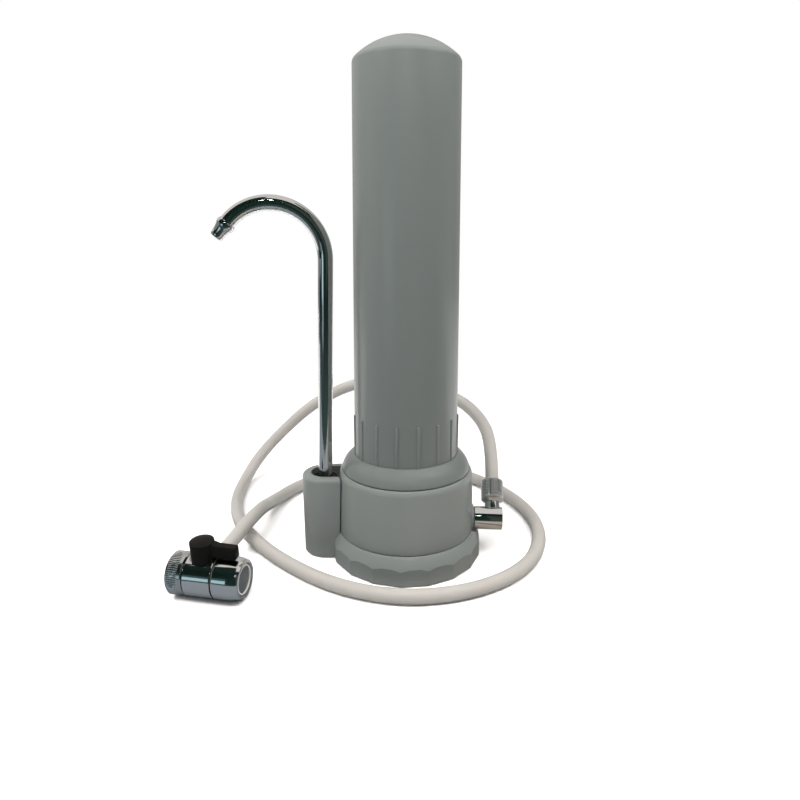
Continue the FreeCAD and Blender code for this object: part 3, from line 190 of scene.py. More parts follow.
def arc(start, end, radius, count=8):
    """Points from one (radius, height) to the next along an arc. A positive radius has its centre on the left of the
    way, a negative one on the right."""
    here, there = Vector(start), Vector(end)
    chord = there - here
    rise = math.sqrt(max(radius ** 2 - (chord.length / 2) ** 2, 0))
    side = 1 if radius > 0 else -1
    centre = (here + there) / 2 + Vector((-chord.y, chord.x)).normalized() * rise * side
    first = here - centre
    sweep = 2 * math.asin(min(chord.length / 2 / abs(radius), 1)) * side
    points = []
    for i in range(count + 1):
        turn = sweep * i / count
        points.append((centre.x + first.x * math.cos(turn) - first.y * math.sin(turn),
                       centre.y + first.x * math.sin(turn) + first.y * math.cos(turn)))
    points[-1] = tuple(end)
    return points


def turn_up(name, profile, steps=96, place=None):
    """Model a round piece: a ring is added, then extruded up and scaled from point to point of its profile."""
    radius, height = profile[0]
    radius = max(radius, TINY)
    bpy.ops.object.select_all(action="DESELECT")
    bpy.ops.mesh.primitive_circle_add(vertices=steps, radius=radius * MM, location=(0, 0, height * MM))
    piece = bpy.context.object
    piece.name = piece.data.name = name
    bpy.ops.object.transform_apply(location=True, rotation=True, scale=True)
    bpy.ops.object.mode_set(mode="EDIT")
    bpy.ops.mesh.select_mode(type="VERT")
    bpy.ops.mesh.select_all(action="SELECT")
    for next_radius, next_height in profile[1:]:
        next_radius = max(next_radius, TINY)
        bpy.ops.mesh.extrude_edges_move(TRANSFORM_OT_translate={"value": (0, 0, (next_height - height) * MM)})
        scale = next_radius / radius
        bpy.ops.transform.resize(value=(scale, scale, 1), center_override=(0, 0, next_height * MM))
        radius, height = next_radius, next_height
    bpy.ops.mesh.select_all(action="SELECT")
    bpy.ops.mesh.remove_doubles(threshold=TINY * 2 * MM)
    bpy.ops.mesh.normals_make_consistent(inside=False)
    bpy.ops.object.mode_set(mode="OBJECT")
    soften(piece, 0)
    return settle(piece, place)


def block(name, low, high, soft=0.0):
    """Model a block between two corners. Its edges are rounded by as many millimetres as soft says."""
    middle = [(a + b) / 2 * MM for a, b in zip(low, high)]
    size = [(b - a) * MM for a, b in zip(low, high)]
    bpy.ops.object.select_all(action="DESELECT")
    bpy.ops.mesh.primitive_cube_add(size=1, location=middle, scale=size)
    piece = bpy.context.object
    piece.name = piece.data.name = name
    settle(piece)
    return soften(piece, soft)


def join(piece, *others):
    """Join pieces into the first."""
    only(piece)
    for other in others:
        other.select_set(True)
    bpy.ops.object.join()
    return piece


def ring_of(piece, count):
    """Copies of one small piece round the upright axis, each with its own mesh, joined into one."""
    copies = []
    for i in range(1, count):
        only(piece)
        bpy.ops.object.duplicate(linked=False)
        copy = bpy.context.object
        settle(copy, Matrix.Rotation(2 * math.pi * i / count, 4, "Z"))
        copies.append(copy)
    return join(piece, *copies)


def groove_round(piece, count, steps, low, high, outer, depth):
    """Press every fourth line of a round wall inwards, which leaves that many flutes."""
    bpy.ops.object.mode_set(mode="EDIT")
    stride = steps // count
    wall = (outer - 0.05) * MM

    def in_flute(co):
        index = round(math.atan2(co.y, co.x) / (2 * math.pi) * steps) % stride
        return index == 0 and co.xy.length > wall and low * MM <= co.z <= high * MM

    pick(piece, in_flute)
    scale = 1 - depth / outer
    bpy.ops.transform.resize(value=(scale, scale, 1), center_override=(0, 0, 0))
    bpy.ops.object.mode_set(mode="OBJECT")
    return piece


def dress(piece, finish, slot, body, *nodes):
    """Give a piece its finish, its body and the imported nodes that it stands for."""
    piece.data.materials.clear()
    piece.data.materials.append(finish)
    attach(piece, body)
    if nodes:
        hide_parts(*nodes)
    return piece


# ---------------------------------------------------------------- finishes

class Wire:
    """A value in a finish's nodes. Sums on it add the maths nodes."""

    def __init__(self, finish, socket):
        self.finish = finish
        self.socket = socket

    def maths(self, operation, *values):
        return self.finish.node("ShaderNodeMath", {"operation": operation}, dict(enumerate(values)))

    def __add__(self, other):
        return self.maths("ADD", self, other)

    def __rsub__(self, other):
        return self.maths("SUBTRACT", other, self)

    def __mul__(self, other):
        return self.maths("MULTIPLY", self, other)

    def __pow__(self, other):
        return self.maths("POWER", self, other)

    def __gt__(self, other):
        return self.maths("GREATER_THAN", self, other)

    __radd__ = __add__
    __rmul__ = __mul__

    def wave(self):
        return self.maths("SINE", self)

    def size(self):
        return self.maths("ABSOLUTE", self)


class Finish:
    """One material. Every node but the surface shader comes from its method node."""

    def __init__(self, name, **surface):
        self.material = bpy.data.materials.new(name)
        self.material.use_nodes = True
        self.nodes = self.material.node_tree.nodes
        self.links = self.material.node_tree.links
        self.surface = next(n for n in self.nodes if n.type == "BSDF_PRINCIPLED")
        for socket, value in surface.items():
            self.plug(self.surface.inputs[socket.replace("_", " ")], value)

    def plug(self, socket, value):
        if isinstance(value, Wire):
            self.links.new(value.socket, socket)
        else:
            socket.default_value = value

    def node(self, kind, settings=None, inputs=None, output=0):
        made = self.nodes.new(kind)
        for name, value in (settings or {}).items():
            setattr(made, name, value)
        for name, value in (inputs or {}).items():
            self.plug(made.inputs[name], value)
        return Wire(self, made.outputs[output])

    def spot(self, turn=(0, 0, 0), scale=(1, 1, 1)):
        """Object coordinates, turned and stretched about the origin."""
        place = self.node("ShaderNodeTexCoord", output=3)
        return self.node("ShaderNodeMapping", inputs={"Vector": place, "Rotation": turn, "Scale": scale})

    def cloud(self, grain, detail=3.0, roughness=0.5, at=None):
        """Noise whose lumps are about grain millimetres wide, from 0 to 1."""
        return self.node("ShaderNodeTexNoise", inputs={
            "Vector": at or self.spot(), "Scale": 1 / (grain * MM), "Detail": detail, "Roughness": roughness})

    def between(self, amount, low, high):
        """A colour between two, by an amount from 0 to 1."""
        mix = self.nodes.new("ShaderNodeMix")
        mix.data_type = "RGBA"
        for name, value in (("Factor_Float", amount), ("A_Color", low), ("B_Color", high)):
            self.plug(next(s for s in mix.inputs if s.identifier == name), value)
        return Wire(self, next(s for s in mix.outputs if s.identifier == "Result_Color"))

    def set(self, **sockets):
        for socket, value in sockets.items():
            self.plug(self.surface.inputs[socket.replace("_", " ")], value)

    def dents(self, height, strength, depth):
        """Feed a height to the surface's normal. The depth is in millimetres."""
        bump = self.node("ShaderNodeBump", inputs={"Height": height, "Strength": strength, "Distance": depth * MM})
        self.set(Normal=bump)


def shade(colour, amount):
    """A colour made lighter or darker, with its alpha."""
    return tuple(min(c * amount, 1) for c in colour[:3]) + (1,)


def moulded_plastic(name, colour, gloss=0.3, sheen=0.5):
    """Moulded thermoplastic: faint flow marks up the walls, a fine orange peel and a few handling scuffs."""
    finish = Finish(name, Roughness=gloss, IOR=1.5, Specular_IOR_Level=sheen, Coat_Weight=sheen * 0.7,
                    Coat_Roughness=0.13)
    flow = finish.cloud(30, 2.0, at=finish.spot(scale=(1, 1, 0.18)))
    speck = finish.cloud(0.9, 2.0)
    finish.set(Base_Color=finish.between(flow * 0.7 + speck * 0.3, shade(colour, 0.94), shade(colour, 1.06)))
    rub = finish.cloud(5, 4.0, 0.6, at=finish.spot(scale=(1, 1, 0.12)))
    finish.set(Roughness=flow * 0.05 + rub * 0.04 + (gloss - 0.04))
    finish.dents(finish.cloud(1.6, 2.0), 0.3, 0.03)
    return finish.material


def milky_tube(name, colour):
    """Milky polyethylene: waxy and soft, with a faint cloudiness and rub marks."""
    finish = Finish(name, Roughness=0.38, IOR=1.51, Subsurface_Weight=0.25, Subsurface_Scale=0.004)
    finish.surface.inputs["Subsurface Radius"].default_value = (1.0, 0.9, 0.8)
    cloud = finish.cloud(26, 3.0)
    finish.set(Base_Color=finish.between(cloud, shade(colour, 0.93), shade(colour, 1.05)))
    finish.set(Roughness=finish.cloud(5, 4.0) * 0.14 + 0.30)
    finish.dents(finish.cloud(2.2, 2.0), 0.25, 0.04)
    return finish.material


def bright_chrome(name, colour, rough=0.06):
    """Polished chrome plate: mirror bright, with a trace of water marks in its gloss."""
    finish = Finish(name, Metallic=1.0)
    stain = finish.cloud(8, 5.0, 0.65)
    finish.set(Base_Color=finish.between(stain, shade(colour, 0.96), shade(colour, 1.02)))
    finish.set(Roughness=stain ** 2 * 0.10 + rough)
    finish.dents(finish.cloud(14, 1.0), 0.12, 0.03)
    return finish.material


def cast_lines(name, colour, rough):
    """Turned metal: fine lathe rings that a light drags out."""
    finish = Finish(name, Metallic=1.0, Roughness=rough)
    ring = finish.cloud(0.5, 2.0)
    finish.set(Base_Color=finish.between(ring, shade(colour, 0.9), shade(colour, 1.05)))
    finish.set(Roughness=ring * 0.15 + rough)
    finish.dents(ring, 0.3, 0.02)
    return finish.material


def soft_rubber(name, colour):
    """Matte rubber with a talc bloom."""
    finish = Finish(name, Roughness=0.8, IOR=1.5)
    bloom = finish.cloud(3, 5.0, 0.7)
    finish.set(Base_Color=finish.between(bloom, shade(colour, 0.8), shade(colour, 1.8)))
    finish.set(Roughness=bloom * 0.2 + 0.65)
    finish.dents(finish.cloud(0.5, 2.0), 0.4, 0.03)
    return finish.material


def plain_ceramic(name, colour, grain):
    """Fired or pressed grain, dull and finely pitted."""
    finish = Finish(name, Roughness=0.9)
    pits = finish.cloud(grain, 6.0, 0.7)
    finish.set(Base_Color=finish.between(pits, shade(colour, 0.85), shade(colour, 1.08)))
    finish.dents(pits, 0.5, 0.08)
    return finish.material


def wire_mesh(name):
    """Woven wire crossed on the outlet's own axes, with painted shade near black in the openings between the wires for
    the outlet's dark inside.
    """
    finish = Finish(name, Metallic=1.0)
    turned = finish.spot(turn=(math.radians(-4), 0, math.radians(11)))
    parts = finish.nodes.new("ShaderNodeSeparateXYZ")
    finish.links.new(turned.socket, parts.inputs[0])
    across = Wire(finish, parts.outputs[1])
    up = Wire(finish, parts.outputs[2])
    pitch = math.pi / (1.45 * MM)
    wires = ((across * pitch).wave().size() > 0.72) + ((up * pitch).wave().size() > 0.72)
    wires = wires > 0.5
    # Between the wires the colour is painted shade, near black, for the dark inside of the outlet
    finish.set(Base_Color=finish.between(wires, (0.008, 0.010, 0.010, 1), (0.50, 0.50, 0.48, 1)))
    finish.set(Roughness=0.75 - wires * 0.45)
    finish.dents(wires, 0.8, 0.2)
    return finish.material


# ---------------------------------------------------------------- what a user would change

class PurifierSizes(bpy.types.PropertyGroup):
    """Sizes of the purifier's main pieces."""

    canister_top: FloatProperty(
        name="Canister top", description="Height of the canister's rim, under its dome", default=0.309,
        min=0.1, unit="LENGTH")
    canister_low_radius: FloatProperty(
        name="Canister radius, bottom", description="Radius above the flared shoulder", default=0.0344, unit="LENGTH")
    canister_high_radius: FloatProperty(
        name="Canister radius, top", description="Radius under the dome", default=0.0314, unit="LENGTH")
    grip_ribs: IntProperty(name="Grip ribs", description="Ribs round the canister's lower end", default=16, min=4)
    skirt_flats: IntProperty(name="Foot flats", description="Flat faces round the foot", default=18, min=6)
    spout_radius: FloatProperty(
        name="Spout tube radius", description="Outer radius of the bent tube", default=0.00475, unit="LENGTH")
    spout_bend: FloatProperty(
        name="Spout bend", description="Radius of the gooseneck's bend", default=0.0326, unit="LENGTH")
    hose_radius: FloatProperty(
        name="Hose radius", description="Outer radius of the hose", default=0.00475, unit="LENGTH")
    swivel_flutes: IntProperty(name="Nut flutes", description="Flutes round the tap nut", default=64, min=12)


class PurifierColours(bpy.types.PropertyGroup):
    """Colours of the purifier's finishes, as linear values."""

    canister: FloatVectorProperty(
        name="Canister", description="Moulded canister", subtype="COLOR", default=(0.092, 0.106, 0.103), min=0, max=1)
    housing: FloatVectorProperty(
        name="Housing", description="Head, foot and tower", subtype="COLOR", default=(0.129, 0.145, 0.140),
        min=0, max=1)
    hose: FloatVectorProperty(
        name="Hose", description="Milky hose", subtype="COLOR", default=(0.305, 0.298, 0.280), min=0, max=1)
    chrome: FloatVectorProperty(
        name="Chrome", description="Chrome plate", subtype="COLOR", default=(0.76, 0.78, 0.78), min=0, max=1)
    lever: FloatVectorProperty(
        name="Lever", description="Black moulded lever", subtype="COLOR", default=(0.0035, 0.0035, 0.003), min=0, max=1)


FINISHES = {}


def finish_for(slot):
    """The finish of a material slot, made on first use."""
    if slot not in FINISHES:
        colours = bpy.context.scene.purifier_colours
        makers = {
            "canister_grey": lambda: moulded_plastic("canister plastic", colours.canister, 0.34),
            "housing_grey": lambda: moulded_plastic("housing plastic", colours.housing, 0.38),
            "hose_white": lambda: milky_tube("milky hose", colours.hose),
            "chrome": lambda: bright_chrome("chrome plate", colours.chrome),
            "knurled_chrome": lambda: bright_chrome("knurled chrome plate", shade(colours.chrome, 0.95), 0.24),
            "satin_chrome": lambda: bright_chrome("satin chrome plate", shade(colours.chrome, 0.8), 0.17),
            "black_plastic": lambda: moulded_plastic("black plastic", colours.lever, 0.45, 0.10),
            "black_rubber": lambda: soft_rubber("black rubber", (0.02, 0.02, 0.02)),
            "white_plastic": lambda: moulded_plastic("white plastic", (0.6, 0.6, 0.58), 0.4),
            "brass": lambda: cast_lines("turned brass", (0.62, 0.45, 0.2), 0.25),
            "screw_steel": lambda: cast_lines("bright steel", (0.55, 0.55, 0.55), 0.25),
            "ceramic_white": lambda: plain_ceramic("white ceramic", (0.72, 0.70, 0.65), 0.6),
            "carbon_black": lambda: plain_ceramic("pressed carbon", (0.02, 0.02, 0.02), 0.8),
            "mesh": lambda: wire_mesh("woven wire"),
        }
        FINISHES[slot] = makers[slot]()
    return FINISHES[slot]


# ---------------------------------------------------------------- the pieces

class PURIFIER_OT_studio(bpy.types.Operator):
    """Camera at the photograph's angle, pale floor, soft lamps, and cards that only the mirrors see"""

    bl_idname = "purifier.studio"
    bl_label = "Studio and camera"

    def execute(self, context):
        scene = context.scene
        scene.view_settings.view_transform = "Standard"
        camera = bpy.data.cameras.new("camera")
        camera.sensor_width = 36
        camera.lens = 27.87
        eye = bpy.data.objects.new("camera", camera)
        eye.location = (-0.0039, -0.392, 0.223)
        eye.rotation_euler = (math.radians(73.67), 0, 0)
        scene.collection.objects.link(eye)
        scene.camera = eye
        self.floor()
        self.world(scene)
        for name, place, aim, size, power, colour, mirrored in (
                ("ceiling", (0.0, -0.1, 1.3), (0, 0, 0), (1.0, 1.0), 12.5, (1.0, 1.0, 1.0), False),
                ("key", (-0.3, -0.9, 1.0), (0, 0, 0.2), (0.8, 0.5), 0.8, (0.95, 1.0, 1.0), False),
                ("left wall", (-1.2, 0.35, 0.5), (0, 0, 0.16), (0.8, 1.2), 7.4, (1.0, 0.98, 0.96), False),
                ("right wall", (1.25, 0.30, 0.55), (0, 0, 0.16), (0.8, 1.2), 6.0, (1.0, 0.96, 0.93), False),
                ("top left", (-0.38, -0.28, 0.60), (0, 0, 0.28), (0.2, 0.2), 4.2, (1.0, 0.93, 0.90), False),
                ("top front", (0.0, -0.34, 0.54), (0, 0, 0.32), (0.15, 0.15), 0.85, (1.0, 0.95, 0.92), False),
                ("top right", (0.38, -0.20, 0.60), (0, 0, 0.28), (0.2, 0.2), 3.0, (1.0, 0.94, 0.90), False),
                ("left bulb", (-0.03, -1.0, 0.97), (0, 0, 0), (0.05, 0.05), 0.20, (1.0, 1.0, 1.0), True),
                ("right bulb", (0.10, -1.0, 0.97), (0, 0, 0), (0.05, 0.05), 0.20, (1.0, 1.0, 1.0), True)):
            self.lamp(scene, name, Vector(place), Vector(aim), size, power, colour).visible_glossy = mirrored
        dark = (0.016, 0.036, 0.030, 1)
        for name, low, high, colour, glow in (
                ("front card", (-3.0, -1.50, -0.02), (0.35, -1.49, 1.55), dark, 0),
                ("front right card", (0.35, -1.50, -0.02), (1.7, -1.49, 1.55), (0.07, 0.085, 0.07, 1), 0),
                ("left ceiling card", (-3.0, -1.50, 1.55), (-0.1, -0.10, 1.56), dark, 0),
                ("right ceiling card", (-0.1, -1.50, 1.55), (1.7, -0.66, 1.56), dark, 0),
                ("ceiling glow", (-3.0, -0.66, 1.60), (1.7, 1.60, 1.61), (1.0, 0.94, 0.88, 1), 0.72),
                ("window", (-1.35, -1.16, 0.01), (-0.60, -1.15, 0.32), (0.66, 0.92, 1.0, 1), 0.70),
                ("dim window", (-1.35, -1.16, 0.32), (-0.60, -1.15, 0.56), (0.45, 0.95, 1.0, 1), 0.10),
                ("floor gleam", (-0.95, -1.14, -0.0001), (-0.40, -0.66, -0.00005), (0.7, 0.9, 1.0, 1), 0.28),
                ("dim gleam", (-0.80, -0.66, -0.0001), (-0.28, -0.26, -0.00005), (0.8, 1.0, 1.0, 1), 0.06),
                ("left gleam", (-3.0, -0.20, -0.0001), (-0.92, 0.40, -0.00005), (0.85, 1.0, 0.95, 1), 0.09),
                ("left card", (-3.0, -1.50, -0.02), (-2.99, 1.60, 1.60), (0.92, 1.0, 0.97, 1), 0.22),
                ("right card", (1.70, -1.50, -0.02), (1.71, 1.60, 1.60), (0.96, 1.0, 0.97, 1), 0.18),
                ("back left card", (-3.0, 1.60, -0.02), (0.0, 1.61, 1.60), (1.0, 0.98, 0.95, 1), 0.55),
                ("back right card", (0.0, 1.60, -0.02), (1.7, 1.61, 1.60), (1.0, 0.97, 0.93, 1), 0.40),
                ("left floor card", (-0.9, -0.20, -0.00015), (0.0, 0.06, -0.0001), (0.125, 0.14, 0.155, 1), 0),
                ("right floor card", (0.0, -0.20, -0.00015), (0.9, 0.06, -0.0001), (0.20, 0.175, 0.15, 1), 0),
                ("front floor card", (-3.0, -1.50, -0.00015), (1.7, -0.20, -0.0001), (0.016, 0.028, 0.025, 1), 0)):
            self.card(name, low, high, colour, glow)
        return {"FINISHED"}

    def floor(self):
        """A pale floor with the object's shadow on it, which the camera sees run out into plain white."""
        bpy.ops.mesh.primitive_plane_add(size=8, location=(0, 0, -0.0002))
        floor = settle(bpy.context.object)
        floor.name = "floor"
        finish = Finish("pale floor", Roughness=0.9, Specular_IOR_Level=0.2)
        camera = finish.node("ShaderNodeLightPath")
        finish.set(Base_Color=finish.between(camera, (0.68, 0.68, 0.68, 1), (0.96, 0.96, 0.96, 1)))
        far = finish.node("ShaderNodeVectorMath", {"operation": "LENGTH"}, {0: finish.spot()}, output=1)
        far = finish.node("ShaderNodeMapRange", {"interpolation_type": "SMOOTHSTEP"},
                          {"Value": far, "From Min": 0.16, "From Max": 0.5})
        white = finish.node("ShaderNodeEmission", inputs={"Color": (1, 1, 1, 1), "Strength": 1.0})
        plain = Wire(finish, finish.surface.outputs[0])
        blend = finish.node("ShaderNodeMixShader", inputs={0: far * camera})
        finish.plug(blend.socket.node.inputs[1], plain)
        finish.plug(blend.socket.node.inputs[2], white)
        finish.plug(finish.nodes["Material Output"].inputs["Surface"], blend)
        floor.data.materials.append(finish.material)

    def world(self, scene):
        """White behind the object and in its mirrors, and a softer grey light on it."""
        world = bpy.data.worlds.new("studio air")
        world.use_nodes = True
        scene.world = world
        nodes, links = world.node_tree.nodes, world.node_tree.links
        air = nodes["Background"]
        paths = nodes.new("ShaderNodeLightPath")
        seen = nodes.new("ShaderNodeMath")
        seen.operation = "MAXIMUM"
        links.new(paths.outputs["Is Camera Ray"], seen.inputs[0])
        links.new(paths.outputs["Is Transmission Ray"], seen.inputs[1])
        clear = nodes.new("ShaderNodeMath")
        clear.operation = "MAXIMUM"
        links.new(seen.outputs[0], clear.inputs[0])
        links.new(paths.outputs["Is Glossy Ray"], clear.inputs[1])
        mix = nodes.new("ShaderNodeMapRange")
        links.new(clear.outputs[0], mix.inputs["Value"])
        mix.inputs["To Min"].default_value = 0.31
        mix.inputs["To Max"].default_value = 1.0
        links.new(mix.outputs["Result"], air.inputs["Strength"])
        air.inputs["Color"].default_value = (1, 1, 1, 1)

    def lamp(self, scene, name, place, aim, size, power, colour):
        """One soft area lamp that looks at a point."""
        data = bpy.data.lights.new(name, "AREA")
        data.shape = "RECTANGLE"
        data.size, data.size_y = size
        data.energy = power
        data.color = colour
        lamp = bpy.data.objects.new(name, data)
        lamp.location = place
        lamp.rotation_euler = (aim - place).to_track_quat("-Z", "Y").to_euler()
        scene.collection.objects.link(lamp)
        return lamp

    def card(self, name, low, high, colour, glow):
        """A card that only mirrors see, dark or with a glow of its own."""
        card = block(name, [v / MM for v in low], [v / MM for v in high])
        finish = Finish(name, Roughness=1.0, Base_Color=colour, Specular_IOR_Level=0.0)
        if glow:
            finish.set(Base_Color=(0, 0, 0, 1), Emission_Color=colour, Emission_Strength=glow)
        card.data.materials.append(finish.material)
        card.visible_camera = card.visible_diffuse = card.visible_shadow = card.visible_transmission = False


class PURIFIER_OT_hose(bpy.types.Operator):
    """Milky hose from the inlet nut, round the canister and over itself to the valve"""

    bl_idname = "purifier.hose"
    bl_label = "Hose"

    def execute(self, context):
        sizes = context.scene.purifier_sizes
        curve = bpy.data.curves.new("hose", "CURVE")
        curve.dimensions = "3D"
        line = curve.splines.new("NURBS")
        line.points.add(len(HOSE_ROUTE) - 1)
        for point, spot in zip(line.points, HOSE_ROUTE):
            point.co = (*(v * MM for v in spot), 1)
        line.order_u = 3
        line.use_endpoint_u = True
        curve.resolution_u = 16
        curve.bevel_depth = sizes.hose_radius
        curve.bevel_resolution = 8
        hose = bpy.data.objects.new("hose_tube", curve)
        context.scene.collection.objects.link(hose)
        dress(hose, finish_for("hose_white"), "hose_white", "housing", "hose")
        return {"FINISHED"}


class PURIFIER_OT_canister(bpy.types.Operator):
    """Tall drafted canister with its flared shoulder, grip ribs, domed top and vent button"""

    bl_idname = "purifier.canister"
    bl_label = "Canister"

    def execute(self, context):
        sizes = context.scene.purifier_sizes
        low, high = sizes.canister_low_radius / MM, sizes.canister_high_radius / MM
        top = sizes.canister_top / MM
        crown = (high ** 2 + DOME_HEIGHT ** 2) / (2 * DOME_HEIGHT)
        inner, ceiling = high - CANISTER_WALL, top + DOME_HEIGHT - CANISTER_WALL
        hollow = -(inner ** 2 + DOME_HEIGHT ** 2) / (2 * DOME_HEIGHT)
        profile = [(36.4, 47.6), (39.8, 47.6), (39.8, 50.8), (37.72, 50.8), (37.72, 53.6), (39.8, 53.6),
                   (39.8, SHOULDER_FOOT), *arc((43.2, SHOULDER_FOOT), (low + 0.8, BODY_FOOT), 18, 10),
                   (low, BODY_FOOT + 0.05)]
        profile += [(low + (high - low) * i / 6, BODY_FOOT + (top - BODY_FOOT) * i / 6) for i in range(1, 7)]
        profile += arc((high, top), (0, top + DOME_HEIGHT), crown, 14)[1:]
        profile += [(0, ceiling), *arc((0, ceiling), (inner, top - CANISTER_WALL), hollow, 8)[1:],
                    (low - CANISTER_WALL, BODY_FOOT), (36.4, SHOULDER_FOOT), (36.4, 47.6)]
        shell = turn_up("canister_shell", profile, steps=160)
        self.round_edges(shell, high, top)
        soften(shell, 0)
        dress(shell, finish_for("canister_grey"), "canister_grey", "canister", "canister")
        self.ribs(sizes, low)
        self.vent(crown, top + DOME_HEIGHT - crown)
        return {"FINISHED"}

    def round_edges(self, shell, high, top):
        """Round the dome's rim, the flange's lip and the foot of the body."""
        bpy.ops.object.mode_set(mode="EDIT")
        for radius, height, width in ((high, top, 1.5), (43.2, SHOULDER_FOOT, 0.5), (35.2, BODY_FOOT, 0.35)):
            pick(shell, lambda a, b: all(abs(v.xy.length - radius * MM) < 0.05 * MM
                                         and abs(v.z - height * MM) < 0.02 * MM for v in (a, b)), "EDGE")
            bpy.ops.mesh.bevel(offset=width * MM, segments=4, affect="EDGES")
        bpy.ops.object.mode_set(mode="OBJECT")

    def ribs(self, sizes, low):
        """Upright rods with round ends, half sunk in the wall."""
        radius, length, foot, sunk = 1.05, 27.0, 72.4, 0.42
        bpy.ops.object.select_all(action="DESELECT")
        bpy.ops.mesh.primitive_uv_sphere_add(segments=20, ring_count=12, radius=radius * MM, location=(0, 0, 0))
        rib = bpy.context.object
        rib.name = "canister_grip_ribs"
        bpy.ops.object.mode_set(mode="EDIT")
        pick(rib, lambda co: co.z > 0.01 * MM)
        bpy.ops.transform.translate(value=(0, 0, length * MM))
        bpy.ops.object.mode_set(mode="OBJECT")
        turn = math.radians(1.4 - 90 + 180 / sizes.grip_ribs)
        reach = (low - sunk) * MM
        settle(rib, Matrix.Translation((reach * math.cos(turn), reach * math.sin(turn), foot * MM)))
        ring_of(rib, sizes.grip_ribs)
        soften(rib, 0)
        dress(rib, finish_for("canister_grey"), "canister_grey", "canister")

    def vent(self, crown, centre):
        """Low round button on the dome."""
        lean = Matrix.Rotation(math.radians(33.7), 4, "Z") @ Matrix.Rotation(math.radians(23.2), 4, "Y")
        place = Matrix.Translation((0, 0, centre * MM)) @ lean @ Matrix.Translation((0, 0, crown * MM))
        button = turn_up("canister_vent", [(0, -0.6), (5.5, -0.6), (5.5, 0.6), *arc((5.5, 0.6), (5.0, 1.0), 0.5, 4)[1:],
                                           (3.6, 1.0), (3.3, 0.7), (0, 0.7)], steps=48, place=place)
        soften(button, 0)
        dress(button, finish_for("canister_grey"), "canister_grey", "canister")


class PURIFIER_OT_head(bpy.types.Operator):
    """Short wide cup that the canister screws into, with the inlet's boss and the spout's socket"""

    bl_idname = "purifier.head"
    bl_label = "Head"

    def execute(self, context):
        wall = [(39.3, 14.6), (42.9, 14.6), (42.9, PARTING), (CUP_RADIUS, PARTING), (46.2, 26.5), (45.8, 38.0),
                (45.4, 48.0), *arc((45.0, 57.4), (43.3, 62.0), 6.5, 7), (40.3, 62.0), (40.3, 45.0), (39.3, 45.0),
                (39.3, 36.6), (9.6, 36.6), (9.6, 33.0), (39.3, 33.0), (39.3, 14.6)]
        head = turn_up("head_cup", wall, steps=160)
        self.round_foot(head)
        boss = turn_up("inlet_boss", [(0, 41), (9, 41), (9, 46.4), *arc((9, 46.4), (8.5, 46.9), 0.5, 3)[1:],
                                      (6.1, 46.9), (6.1, 42), (0, 42)], steps=64, place=INLET @ TO_X)
        carve(head, boss, "UNION")
        soften(head, 0)
        dress(head, finish_for("housing_grey"), "housing_grey", "housing", "filter_head")
        socket = turn_up("head_spout_socket", [(0, 14.7), (9, 14.7), (9, 50.5), *arc((9, 50.5), (8.5, 51), 0.5, 3)[1:],
                                               (7.98, 51), (7.98, 40), (6.88, 40), (6.88, 18.5), (0, 18.5)],
                         steps=64, place=Matrix.Translation((TOWER_X, 0, 0)))
        web = block("head_web", (-48.5, -5.5, 14.7), (-42.0, 5.5, 49.4), soft=0.4)
        dress(socket, finish_for("housing_grey"), "housing_grey", "housing")
        dress(web, finish_for("housing_grey"), "housing_grey", "housing")
        return {"FINISHED"}

    def round_foot(self, head):
        """Round the cup's lower lip, over the parting line."""
        bpy.ops.object.mode_set(mode="EDIT")
        pick(head, lambda a, b: all(v.xy.length > (CUP_RADIUS - 0.1) * MM and v.z < (PARTING + 0.1) * MM
                                    for v in (a, b)), "EDGE")
        bpy.ops.mesh.bevel(offset=0.5 * MM, segments=3, affect="EDGES")
        bpy.ops.object.mode_set(mode="OBJECT")


